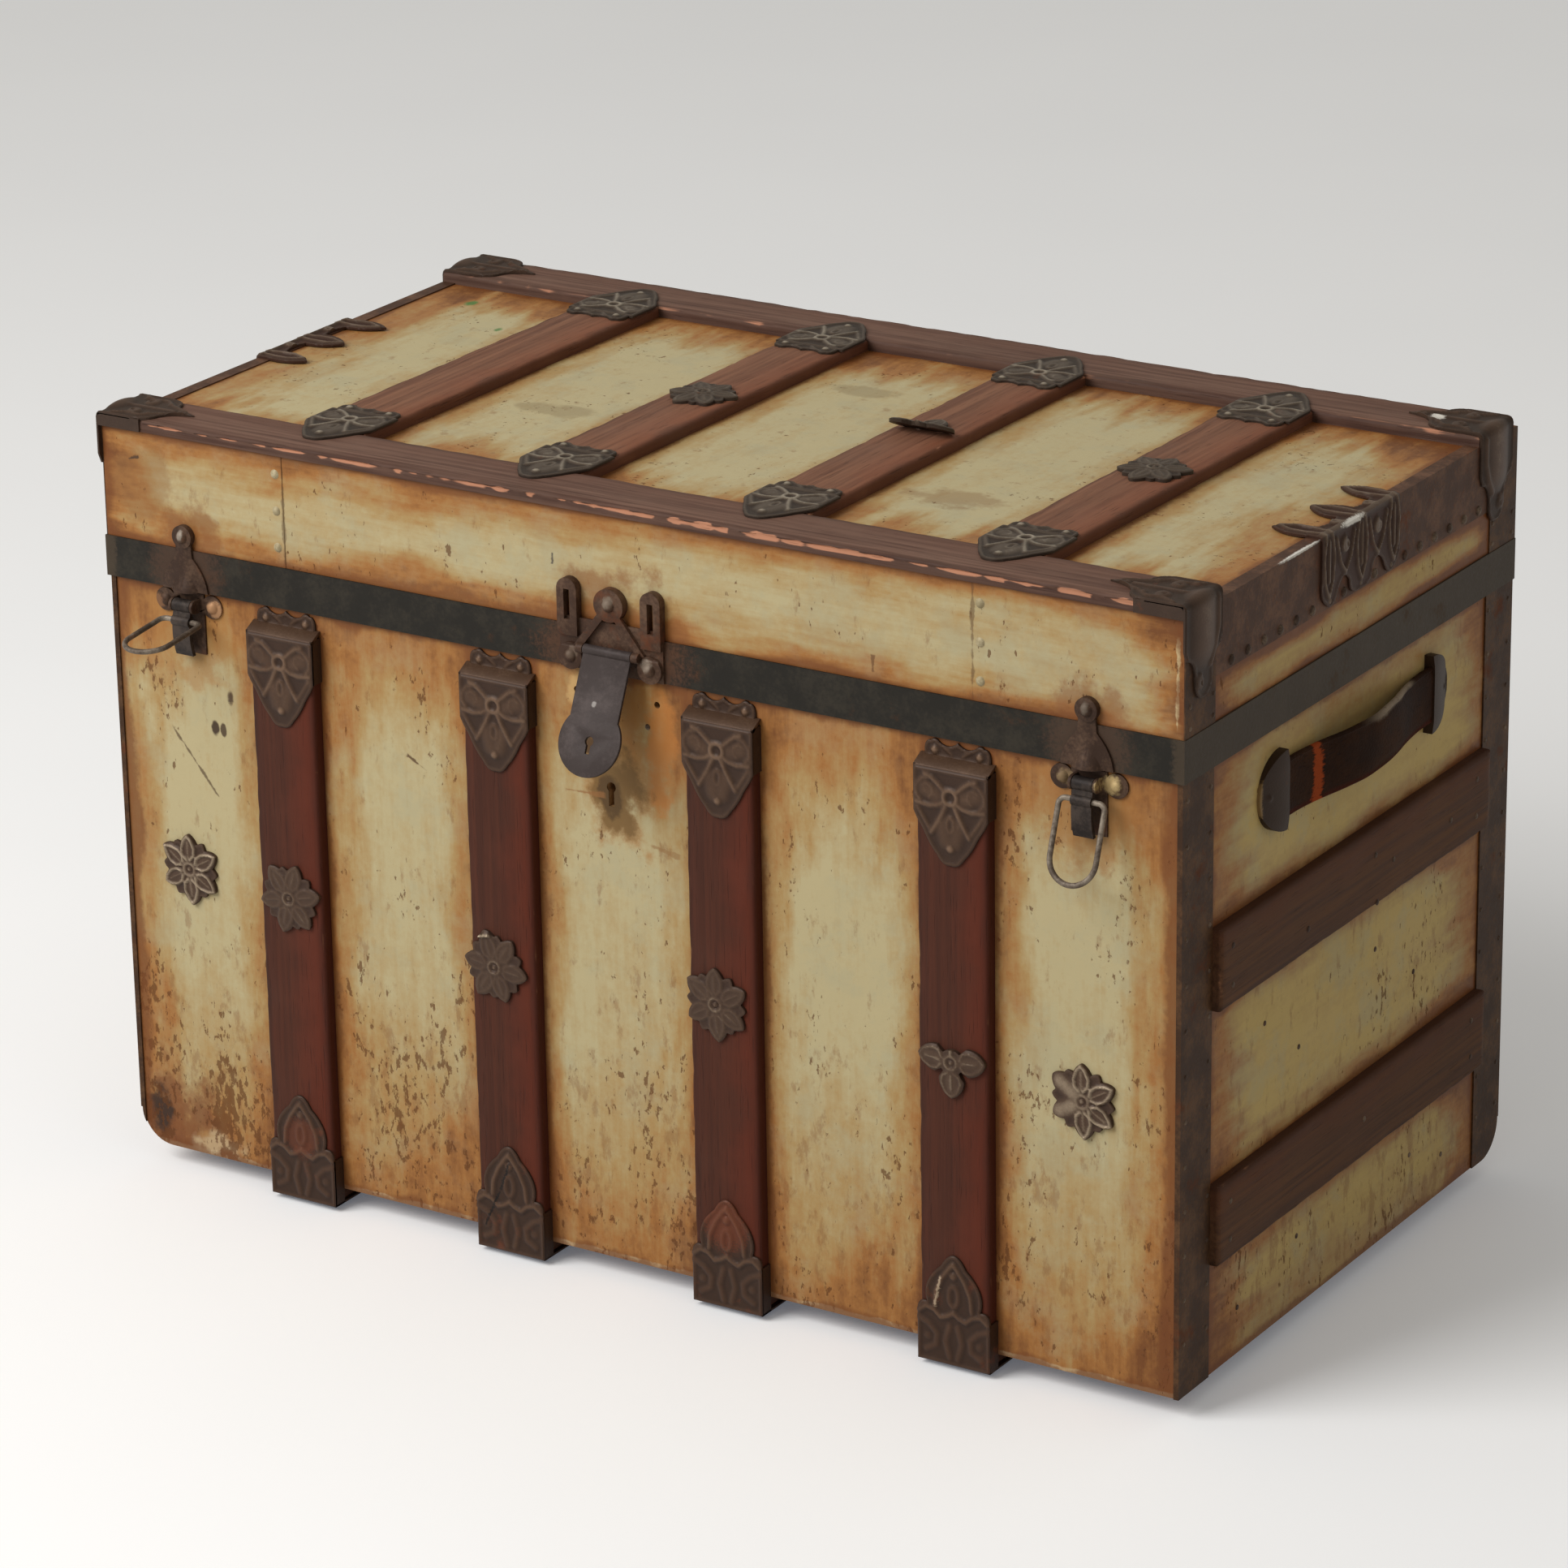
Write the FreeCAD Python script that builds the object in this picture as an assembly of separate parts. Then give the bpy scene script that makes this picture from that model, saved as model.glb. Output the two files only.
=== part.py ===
import FreeCAD, Part
import math
import os

from FreeCAD import Placement, Rotation, Vector

# Flat-top slatted travelling trunk. Lengths are in millimetres and angles in degrees.
# +X is the right end, -Y the front, +Z up. The pieces are drawn with the case's underside at z = 0.
# At the end they are lifted so that the origin lies on the floor, under the middle of the case.

# Case and lid
case_width = 808.0
case_depth = 448.0
base_height = 417.0
lid_height = 95.6
board = 12.0
cover = 0.7
rim_gap = 0.4
lid_play = 0.4
end_panel_width = 123.75
overrun = 5.0
bow_steps = 4

# Worn-off bottom corners of the case
worn_radius = 24.0
worn_length = 60.0

# Wooden slats
slat_width = 50.5
base_slat_shift = -6.5
lid_slat_shift = 6.0
slat_thickness = 9.0
slat_round = 2.5
slat_head_room = 17.6
runner_thickness = 9.0
end_slat_width = 54.0
end_slat_thickness = 8.0
handle_slat_gap = 37.5
lower_end_slat_rise = 77.0
edge_slat_width = 46.6
back_slat_inset = 12.8
edge_slat_proud = 2.0
lid_slat_thickness = 8.0

# Steel band round the lid's rim, and the bindings of the corners
band_height = 28.0
band_drop = 8.4
band_thickness = 1.4
binding_width = 38.0
binding_return = 2.5
binding_thickness = 1.2
lid_binding_thickness = 0.9
end_binding_height = 47.0
end_binding_return = 9.0

# Stamped sheet ornaments
clasp_sheet = 1.3
clasp_tongue = 62.0
clasp_fold_rise = 4.5
clasp_tab = 11.0
foot_clasp_height = 66.0
foot_clasp_return = 30.0
lid_clasp_setback = 19.6
clasp_ring_radius = 6.2
clasp_ring_hole = 3.6
clasp_relief = 1.6
clasp_ray_width = 3.0
clasp_ray_length = 17.0
clasp_ray_angle = 38.0
clasp_rivet_radius = 3.2
clasp_rivet_spread = 16.0
rosette_radius = 26.0
rosette_sheet = 2.4
rosette_boss_radius = 6.5
rosette_boss_height = 4.0
rosette_petals = 6
cap_length = 62.0
cap_tongue_width = 46.0
cap_tongue_drop = 62.0
cap_lip_length = 34.0
ornament_width = 105.0
ornament_reach = 37.0
ornament_drop = 46.0
ornament_hole_radius = 5.0

# Seam rivets of the lid's front sheet
seam_inset = 146.1
seam_step = 0.35
seam_rivet_radius = 3.2
seam_rivet_height = 1.6
seam_rivet_inset = 5.5
seam_rivet_pitch = 25.0

# Butt hinges on the back
hinge_width = 60.0
hinge_leaf_height = 46.0
hinge_leaf = 1.6
hinge_barrel_radius = 4.0
hinge_pin_radius = 2.0
hinge_stand_off = 0.3
knuckle_gap = 0.4
running_clearance = 0.05

# Hasp, its plate and the old keyhole
hasp_place = -3.0
hasp_pivot_rise = 15.4
hasp_lean = 24.0
hasp_width = 36.0
hasp_length = 57.0
hasp_disc_radius = 23.0
hasp_thickness = 2.2
hasp_knuckle_radius = 3.3
hasp_pin_radius = 1.6
hasp_key_radius = 3.0
hasp_key_slot = 8.0
plate_sheet = 1.6
hasp_plate_width = 78.0
hasp_plate_rise = 6.0
hasp_cheek = 5.0
hasp_tab_width = 15.0
hasp_tab_height = 38.0
hasp_tab_slot = 4.5
hasp_tab_slot_length = 20.0
hasp_ring_height = 31.0
hasp_ring_radius = 11.0
hasp_rivet_radius = 4.5
hasp_rivet_height = 3.0
hasp_strap_width = 5.0
hasp_strap_thickness = 2.8
hasp_eye_radius = 9.0
hasp_eye_place = 30.0
hasp_eye_drop = 7.0
keyhole_place = -9.0
keyhole_drop = 87.0
keyhole_radius = 3.4
keyhole_slot_width = 4.0
keyhole_slot = 13.0
screw_hole_radius = 2.2
screw_hole_spread = 30.5
screw_hole_drop = 25.0
screw_hole_depth = 9.0

# Draw latches
latch_sheet = 1.5
latch_pivot_drop = 9.6
latch_back_gap = 1.1
latch_pin_radius = 2.0
latch_lug_thickness = 2.0
latch_lug_radius = 4.6
latch_plate_width = 25.0
latch_plate_length = 34.0
latch_ear_radius = 8.0
latch_ear_spread = 19.0
latch_rivet_radius = 4.6
latch_rivet_height = 2.8
latch_side_gap = 0.5
lever_width = 14.0
lever_thickness = 3.0
lever_eye_radius = 4.4
lever_length = 34.0
lever_bow = 3.0
bail_drop = 10.0
bail_wire_radius = 1.8
bail_half_width = 16.0
bail_length = 52.0
bail_stub_depth = 4.0
bail_bend_radius = 4.5
left_bail_lean = 84.0
right_bail_lean = 19.0
keeper_width = 37.0
keeper_tab_radius = 7.8
keeper_tab_rise = 9.4
keeper_tab_proud = 1.5
keeper_hood_radius = 13.0
keeper_hood_top_radius = 4.0
keeper_hood_height = 19.0
keeper_hood_sink = 7.0

# Leather handles on the ends
handle_drop = 51.0
handle_span = 228.0
strap_width = 38.0
strap_thickness = 5.0
strap_bow = 11.0
strap_tuck = 12.0
strap_flat = 6.0
strap_stand_off = 1.6
handle_cap_height = 53.0
handle_cap_depth = 29.0
handle_cap_thickness = 8.4
handle_cap_round = 3.0
handle_fit = 0.4

# Rollers under the corners
floor_gap = 14.0
roller_radius = 12.0
roller_width = 16.0
roller_setback = 34.0
roller_side_gap = 0.5
roller_room = 1.0
roller_round = 1.5
axle_radius = 2.5
cup_sheet = 1.4
cup_flange_margin = 8.0
cup_lobe_radius = 6.0
cup_fit = 0.3

# Outlines, as shares of a piece's width across and of its height or length upwards.
# Each starts on the middle line and runs up the right half; the left half mirrors it.
# A step of two shares is a straight line, a step of four is a bow through its first point.
pointed_clasp_shares = (
    (0.0, 0.0),
    (0.10, 0.015, 0.18, 0.09),
    (0.28, 0.20, 0.37, 0.34),
    (0.46, 0.46),
    (0.50, 0.53),
    (0.50, 1.00),
    (0.0, 1.00),
)
clasp_tab_shares = (
    (0.0, 0.0),
    (0.44, 0.0),
    (0.43, 0.70, 0.36, 0.92),
    (0.30, 1.04, 0.24, 0.86),
    (0.12, 0.70, 0.0, 1.00),
)
arched_clasp_shares = (
    (0.0, 0.0),
    (0.50, 0.0),
    (0.50, 0.44),
    (0.47, 0.52, 0.37, 0.54),
    (0.36, 0.72, 0.17, 0.89),
    (0.09, 0.97, 0.0, 1.00),
)
cap_leaf_shares = (
    (0.0, 0.0),
    (0.50, 0.0),
    (0.50, 0.42),
    (0.44, 0.58, 0.30, 0.66),
    (0.12, 0.76, 0.0, 1.00),
)
cap_tongue_shares = (
    (0.0, 0.0),
    (0.14, 0.03, 0.22, 0.14),
    (0.27, 0.36, 0.44, 0.45),
    (0.50, 0.56),
    (0.50, 1.00),
    (0.0, 1.00),
)
ornament_top_shares = (
    (0.0, 0.0),
    (0.50, 0.0),
    (0.50, 0.20),
    (0.51, 0.62, 0.44, 1.00),
    (0.36, 0.70, 0.33, 0.30),
    (0.22, 0.22, 0.11, 0.28),
    (0.09, 0.64, 0.0, 0.94),
)
ornament_drop_shares = (
    (0.0, 0.0),
    (0.11, 0.03, 0.15, 0.22),
    (0.22, 0.32, 0.29, 0.20),
    (0.36, 0.00, 0.44, 0.04),
    (0.50, 0.20, 0.50, 0.42),
    (0.50, 1.00),
    (0.0, 1.00),
)
ornament_hole_shares = ((-0.28, 0.52), (0.0, 0.46), (0.28, 0.52))
keeper_shares = (
    (0.0, 0.0),
    (0.50, 0.0),
    (0.47, 0.16),
    (0.36, 0.40, 0.18, 0.62),
    (0.15, 1.00),
    (0.0, 1.00),
)
petal_valley_share = 0.60
petal_side_share = 0.86
petal_side_angle_share = 0.62
slat_rosette_shares = (0.500, 0.462, 0.484)
slat_rosette_shift_shares = (0.0, -0.10, -0.08)
broken_rosette_share = 0.476
panel_rosette_shares = (0.502, 0.451)
panel_rosette_shift_shares = (-0.08, -0.03)
clasp_ring_share = 0.72
clasp_tip_rivet_share = 0.19
clasp_tab_rivet_share = 0.42
clasp_side_share = 0.53
foot_clasp_boss_share = 0.56
foot_clasp_side_share = 0.44

# Places that the pieces share
half_width = case_width / 2
front_y = -case_depth / 2
back_y = case_depth / 2
board_x = half_width - cover
board_y = back_y - cover
inner_x = board_x - board
inner_y = board_y - board
lid_rim = base_height + rim_gap
lid_top = lid_rim + lid_height
lid_overhang = binding_thickness + lid_play
lid_half_width = half_width + lid_overhang
lid_front = front_y - lid_overhang
seam_place = lid_half_width - seam_inset
lid_middle_y = (lid_front + back_y) / 2
slat_frame_y = lid_middle_y - back_slat_inset / 2
lid_board_x = lid_half_width - cover
lid_board_top = lid_top - cover
lid_board_under = lid_board_top - board
band_bottom = base_height - band_drop
band_top = band_bottom + band_height
band_face = lid_front - band_thickness
slat_top = band_bottom - slat_head_room
slat_face = front_y - slat_thickness
slat_pitch = (case_width - slat_width - 2 * end_panel_width) / 3
slat_spread = [slat_pitch * (index - 1.5) for index in range(4)]
slat_places = [base_slat_shift + x for x in slat_spread]
lid_slat_places = [lid_slat_shift + x for x in slat_spread]
lid_slat_top = lid_top + lid_slat_thickness
edge_slat_front = lid_front - edge_slat_proud
edge_slat_back = edge_slat_front + edge_slat_width
edge_slat_end = lid_half_width + lid_binding_thickness
latch_place = half_width - (end_panel_width + binding_return) / 2
handle_height = base_height - handle_drop
hasp_pivot_height = band_bottom + hasp_pivot_rise
latch_pivot_height = band_bottom - latch_pivot_drop
keeper_tab_height = band_top + keeper_tab_rise
keyhole_height = base_height - keyhole_drop
screw_hole_height = base_height - screw_hole_drop

nodes = {}


def block(x0, x1, y0, y1, z0, z1):
    """A box between two corners."""
    return Part.makeBox(x1 - x0, y1 - y0, z1 - z0, Vector(x0, y0, z0))


def rod(start, direction, radius, length):
    """A round bar from a point along a direction."""
    return Part.makeCylinder(radius, length, start, direction)


def mirror_x(shape):
    return shape.mirror(Vector(), Vector(1, 0, 0))


def mirror_y(shape, y=0):
    return shape.mirror(Vector(0, y, 0), Vector(0, 1, 0))


def both_ends(shape):
    """The shape on the right end and its twin on the left end."""
    return [shape, mirror_x(shape)]


def fuse(shapes):
    """One solid from pieces that meet."""
    return shapes[0].multiFuse(shapes[1:]).removeSplitter()


def same(a, b):
    """Whether two lengths agree to within a thousandth of the board's thickness."""
    return abs(a - b) < board / 1000


def rounded(shape, radius, chosen):
    """The shape with its chosen edges rounded; chosen tests the middle of an edge."""
    edges = [edge for edge in shape.Edges if chosen(edge.CenterOfMass)]
    return shape.makeFillet(radius, edges)


def bow(start, through, end):
    """Points along a parabola from a start, which is left out, through a middle point to its end."""
    points = []
    for index in range(1, bow_steps + 1):
        t = index / bow_steps
        points.append(tuple(a * (1 - t) * (1 - 2 * t) + b * 4 * t * (1 - t) + c * t * (2 * t - 1)
                            for a, b, c in zip(start, through, end)))
    return points


def symmetric_face(shares, place):
    """A flat face from the right half of an outline; place turns two shares into a point."""
    right = [shares[0]]
    for step in shares[1:]:
        right += [step] if len(step) == 2 else bow(right[-1], step[:2], step[2:])
    left = [(-u, v) for u, v in reversed(right) if u > 0]
    points = [place(u, v) for u, v in right + left]
    return Part.Face(Part.makePolygon(points + points[:1]))


def dome(radius, height):
    """A low round cap that stands on the XY plane."""
    ball_radius = (radius ** 2 + height ** 2) / (2 * height)
    ball = Part.makeSphere(ball_radius, Vector(0, 0, height - ball_radius))
    return ball.common(Part.makeCylinder(radius, height))


def on_front(shape, x, y, z):
    """A shape drawn on the XY plane, stood up against the front with its top outwards."""
    placed = shape.copy()
    placed.Placement = Placement(Vector(x, y, z), Rotation(Vector(1, 0, 0), 90))
    return placed


def worn(shape):
    """The shape with the case's two worn-off bottom corners taken away."""
    left = block(-half_width - overrun, -half_width + worn_radius, front_y - overrun,
                 front_y + worn_length, -overrun, worn_radius)
    left = left.cut(rod(Vector(-half_width + worn_radius, front_y - overrun, worn_radius), Vector(0, 1, 0),
                        worn_radius, worn_length + 2 * overrun))
    right = block(half_width - worn_length, half_width + overrun, back_y - worn_radius,
                  back_y + overrun, -overrun, worn_radius)
    right = right.cut(rod(Vector(half_width - worn_length - overrun, back_y - worn_radius, worn_radius),
                          Vector(1, 0, 0), worn_radius, worn_length + 3 * overrun))
    return shape.cut(left).cut(right)


# Pine boards of the base: front and back run the full width, the ends stand between them
keyhole = fuse([
    rod(Vector(keyhole_place, front_y - overrun, keyhole_height), Vector(0, 1, 0), keyhole_radius,
        cover + board + 2 * overrun),
    block(keyhole_place - keyhole_slot_width / 2, keyhole_place + keyhole_slot_width / 2, front_y - overrun,
          overrun - inner_y, keyhole_height - keyhole_slot, keyhole_height),
])
lock_holes = [
    rod(Vector(hasp_place + side * screw_hole_spread, front_y - overrun, screw_hole_height),
        Vector(0, 1, 0), screw_hole_radius, screw_hole_depth + overrun)
    for side in (-1, 1)
]
front_board = block(-board_x, board_x, -board_y, -inner_y, 0, base_height)
nodes["front_board"] = worn(front_board.cut(keyhole).cut(lock_holes))
nodes["back_board"] = worn(block(-board_x, board_x, inner_y, board_y, 0, base_height))
end_board = block(inner_x, board_x, -inner_y, inner_y, 0, base_height)
nodes["right_end_board"] = worn(end_board)
nodes["left_end_board"] = worn(mirror_x(end_board))

# Rollers under the four corners, each in a sheet cup let into the bottom board
axle_height = roller_radius - floor_gap
cup_half_x = roller_radius + roller_room
cup_half_y = roller_width / 2 + roller_side_gap
cup_inside_top = axle_height + roller_radius + roller_room
roller_x = half_width - end_panel_width / 2
roller_y = back_y - roller_setback
roller_places = {
    "front_left": (-roller_x, -roller_y),
    "front_right": (roller_x, -roller_y),
    "back_left": (-roller_x, roller_y),
    "back_right": (roller_x, roller_y),
}


def cup_room(margin, low, high):
    """A box round a roller at the origin, wider than the cup's inside by a margin."""
    half_x = cup_half_x + margin
    half_y = cup_half_y + margin
    return block(-half_x, half_x, -half_y, half_y, low, high)


def roller_cup():
    """A flanged cup, open below, whose two cheeks carry the axle."""
    lobe_start = -cup_half_y - cup_sheet
    shell = fuse([
        cup_room(cup_sheet, -cup_sheet, cup_inside_top + cup_sheet),
        cup_room(cup_flange_margin, -cup_sheet, 0),
        rod(Vector(0, lobe_start, axle_height), Vector(0, 1, 0), cup_lobe_radius, -2 * lobe_start),
    ])
    inside = cup_room(0, axle_height - cup_lobe_radius - overrun, cup_inside_top)
    bore = rod(Vector(0, lobe_start - overrun, axle_height), Vector(0, 1, 0),
               axle_radius + running_clearance, 2 * (overrun - lobe_start))
    return shell.cut(inside).cut(bore)


def roller_wheel():
    """A turned roller with eased rims."""
    wheel = rod(Vector(0, -roller_width / 2, axle_height), Vector(0, 1, 0), roller_radius, roller_width)
    wheel = wheel.makeChamfer(roller_round, [edge for edge in wheel.Edges if edge.Closed])
    bore = rod(Vector(0, -roller_width, axle_height), Vector(0, 1, 0), axle_radius + running_clearance,
               2 * roller_width)
    return wheel.cut(bore)


def moved(shape, place):
    return shape.translated(Vector(place[0], place[1], 0))


axle_half = cup_half_y + cup_sheet
roller_axle = rod(Vector(0, -axle_half, axle_height), Vector(0, 1, 0), axle_radius, 2 * axle_half)
nodes["roller_cups"] = Part.makeCompound([moved(roller_cup(), place) for place in roller_places.values()])
nodes["roller_axles"] = Part.makeCompound([moved(roller_axle, place) for place in roller_places.values()])
for corner, place in roller_places.items():
    nodes["roller_" + corner] = moved(roller_wheel(), place)

bottom_board = block(-inner_x, inner_x, -inner_y, inner_y, 0, board)
for place in roller_places.values():
    pocket = cup_room(cup_sheet + cup_fit, -overrun, board + overrun)
    bottom_board = bottom_board.cut(moved(pocket, place))
nodes["bottom_board"] = worn(bottom_board)

# Painted covering sheets of the base
front_cover = block(-half_width, half_width, front_y, -board_y, 0, base_height)
nodes["front_cover"] = worn(front_cover.cut(keyhole).cut(lock_holes))
nodes["back_cover"] = worn(block(-half_width, half_width, board_y, back_y, 0, base_height))
end_cover = block(board_x, half_width, -board_y, board_y, 0, base_height)
nodes["end_covers"] = Part.makeCompound([worn(side) for side in both_ends(end_cover)])

# Wooden slats: four down the front and the back, two across each end, four runners underneath


def front_slat(x):
    slat = block(x - slat_width / 2, x + slat_width / 2, slat_face, front_y, 0, slat_top)
    return rounded(slat, slat_round, lambda middle: same(middle.y, slat_face) and not same(middle.x, x))


def end_slat(low):
    outer = half_width + end_slat_thickness
    reach = back_y - binding_width
    slat = block(half_width, outer, -reach, reach, low, low + end_slat_width)
    return rounded(slat, slat_round, lambda middle: same(middle.x, outer) and same(middle.y, 0))


def bottom_runner(x):
    runner = block(x - slat_width / 2, x + slat_width / 2, slat_face, -slat_face, -runner_thickness, 0)
    return rounded(runner, slat_round,
                   lambda middle: same(middle.z, -runner_thickness) and not same(middle.x, x))


front_slats = [front_slat(x) for x in slat_places]
upper_end_slat_rise = handle_height - handle_cap_height / 2 - handle_slat_gap - end_slat_width
end_slats = [end_slat(low) for low in (upper_end_slat_rise, lower_end_slat_rise)]
nodes["front_slats"] = Part.makeCompound(front_slats)
nodes["back_slats"] = Part.makeCompound([mirror_y(slat) for slat in front_slats])
nodes["right_end_slats"] = Part.makeCompound(end_slats)
nodes["left_end_slats"] = Part.makeCompound([mirror_x(slat) for slat in end_slats])
nodes["bottom_runners"] = Part.makeCompound([bottom_runner(x) for x in slat_places])

# Sheet bindings folded round the four upright corners of the base
corner_binding = fuse([
    block(half_width, half_width + binding_thickness, front_y - binding_thickness, front_y + binding_width,
          0, base_height),
    block(half_width - binding_return, half_width, front_y - binding_thickness, front_y, 0, base_height),
])
corner_bindings = both_ends(corner_binding) + both_ends(mirror_y(corner_binding))
nodes["corner_bindings"] = Part.makeCompound([worn(binding) for binding in corner_bindings])

# Stamped clasps that hold the ends of the front slats
clasp_width = slat_width + 2 * clasp_sheet
clasp_face = slat_face - clasp_sheet


def clasp_sides(x, low, high):
    """The two flanges that fold a clasp over the edges of its slat."""
    side = block(slat_width / 2, slat_width / 2 + clasp_sheet, clasp_face, front_y, low, high)
    return [part.translated(Vector(x, 0, 0)) for part in both_ends(side)]


def pressed_tongue():
    """A clasp's pointed tongue with its ring and rays, on the XY plane, its tip at the origin."""
    sheet = symmetric_face(pointed_clasp_shares, lambda u, v: Vector(u * clasp_width, v * clasp_tongue, 0))
    centre = Vector(0, clasp_ring_share * clasp_tongue, clasp_sheet)
    ring = rod(centre, Vector(0, 0, 1), clasp_ring_radius, clasp_relief)
    rays = []
    for angle in (clasp_ray_angle, -clasp_ray_angle):
        ray = block(-clasp_ray_length, clasp_ray_length, -clasp_ray_width / 2, clasp_ray_width / 2,
                    0, clasp_relief / 2)
        ray.rotate(Vector(), Vector(0, 0, 1), angle)
        rays.append(ray.translated(centre))
    hole = rod(centre, Vector(0, 0, 1), clasp_ring_hole, 2 * clasp_relief)
    rivet = dome(clasp_rivet_radius, clasp_relief)
    rivet = rivet.translated(Vector(0, clasp_tip_rivet_share * clasp_tongue, clasp_sheet))
    return fuse([sheet.extrude(Vector(0, 0, clasp_sheet)), fuse([ring] + rays).cut(hole), rivet])


def pressed_tab():
    """A clasp's scalloped tab on the XY plane, facing up, with its two rivets."""
    sheet = symmetric_face(clasp_tab_shares, lambda u, v: Vector(u * clasp_width, v * clasp_tab, 0))
    rivet = dome(clasp_rivet_radius, clasp_relief)
    place = Vector(clasp_rivet_spread, clasp_tab_rivet_share * clasp_tab, clasp_sheet)
    rivets = both_ends(rivet.translated(place))
    return fuse([sheet.extrude(Vector(0, 0, clasp_sheet))] + rivets)


def top_clasp(x):
    """A tongue on the slat, folded back over the slat's end to a tab on the wall."""
    fold_top = slat_top + clasp_fold_rise + clasp_sheet
    profile = [(slat_face, slat_top), (clasp_face, slat_top), (clasp_face, slat_top + clasp_sheet),
               (front_y - clasp_sheet, fold_top), (front_y, fold_top), (front_y, fold_top - clasp_sheet)]
    corners = [Vector(x - clasp_width / 2, y, z) for y, z in profile]
    fold = Part.Face(Part.makePolygon(corners + corners[:1])).extrude(Vector(clasp_width, 0, 0))
    return fuse([
        on_front(pressed_tongue(), x, slat_face, slat_top - clasp_tongue),
        fold,
        on_front(pressed_tab(), x, front_y, fold_top - clasp_sheet),
    ] + clasp_sides(x, slat_top - (1 - clasp_side_share) * clasp_tongue, slat_top + clasp_sheet))


def foot_clasp(x):
    foot = -runner_thickness - clasp_sheet
    height = foot_clasp_height - foot
    face = symmetric_face(arched_clasp_shares,
                          lambda u, v: Vector(x + u * clasp_width, clasp_face, foot + v * height))
    under = block(x - clasp_width / 2, x + clasp_width / 2, clasp_face, slat_face + foot_clasp_return,
                  foot, -runner_thickness)
    boss = on_front(dome(clasp_ring_radius, clasp_relief), x, clasp_face,
                    foot + foot_clasp_boss_share * height)
    return fuse([face.extrude(Vector(0, clasp_sheet, 0)), under, boss]
                + clasp_sides(x, foot, foot + foot_clasp_side_share * height))


nodes["slat_top_clasps"] = Part.makeCompound([top_clasp(x) for x in slat_places])
nodes["slat_foot_clasps"] = Part.makeCompound([foot_clasp(x) for x in slat_places])

# Stamped flower rosettes; the fourth slat of the front and the third of the lid carry broken halves


def rosette():
    """A flower drawn on the XY plane, facing up."""
    step = 2 * math.pi / rosette_petals

    def polar(share, turns):
        return Vector(share * rosette_radius * math.cos(turns * step),
                      share * rosette_radius * math.sin(turns * step), 0)

    corners = []
    for petal in range(rosette_petals):
        side = (1 - petal_side_angle_share) / 2
        points = [(petal_valley_share, petal), (petal_side_share, petal + side), (1, petal + 1 / 2),
                  (petal_side_share, petal + 1 - side), (petal_valley_share, petal + 1)]
        corners += bow(*points[:3])[:-1] + bow(*points[2:])
    edge = [polar(share, turns) for share, turns in corners]
    flower = Part.Face(Part.makePolygon(edge + edge[:1])).extrude(Vector(0, 0, rosette_sheet))
    boss = dome(rosette_boss_radius, rosette_boss_height).translated(Vector(0, 0, rosette_sheet))
    return fuse([flower, boss])


whole_rosette = rosette()
rosette_reach = rosette_radius + overrun
rosette_top = rosette_sheet + rosette_boss_height + overrun
half_space = block(-rosette_reach, rosette_reach, 0, rosette_reach, -overrun, rosette_top)
half_rosette = whole_rosette.cut(half_space)
front_rosettes = [
    on_front(whole_rosette, x + shift * slat_width, slat_face, share * base_height)
    for x, shift, share in zip(slat_places, slat_rosette_shift_shares, slat_rosette_shares)
]
front_rosettes.append(on_front(half_rosette, slat_places[3], slat_face, broken_rosette_share * base_height))
for x, shift, share in zip((-latch_place, latch_place), panel_rosette_shift_shares, panel_rosette_shares):
    front_rosettes.append(on_front(whole_rosette, x + shift * end_panel_width, front_y, share * base_height))
nodes["front_rosettes"] = Part.makeCompound(front_rosettes)

# Leather handles, each tucked at both ends into a stamped cap
cap_mouth = -(handle_span - handle_cap_depth) / 2
strap_inner = half_width + strap_stand_off


def handle_cap():
    """The front cap of the right handle: a half-round pocket, open towards the strap."""
    low = Vector(half_width, cap_mouth, handle_height - handle_cap_height / 2)
    tip = Vector(half_width, cap_mouth - handle_cap_depth, handle_height)
    high = Vector(half_width, cap_mouth, handle_height + handle_cap_height / 2)
    wire = Part.Wire([Part.Arc(low, tip, high).toShape(), Part.LineSegment(high, low).toShape()])
    cap = Part.Face(wire).extrude(Vector(handle_cap_thickness, 0, 0))
    face = half_width + handle_cap_thickness
    cap = rounded(cap, handle_cap_round,
                  lambda middle: same(middle.x, face) and not same(middle.y, cap_mouth))
    slot = block(strap_inner - handle_fit, strap_inner + strap_thickness + handle_fit,
                 cap_mouth - strap_tuck - handle_fit, cap_mouth + overrun,
                 handle_height - strap_width / 2 - handle_fit, handle_height + strap_width / 2 + handle_fit)
    return cap.cut(slot)


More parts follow.
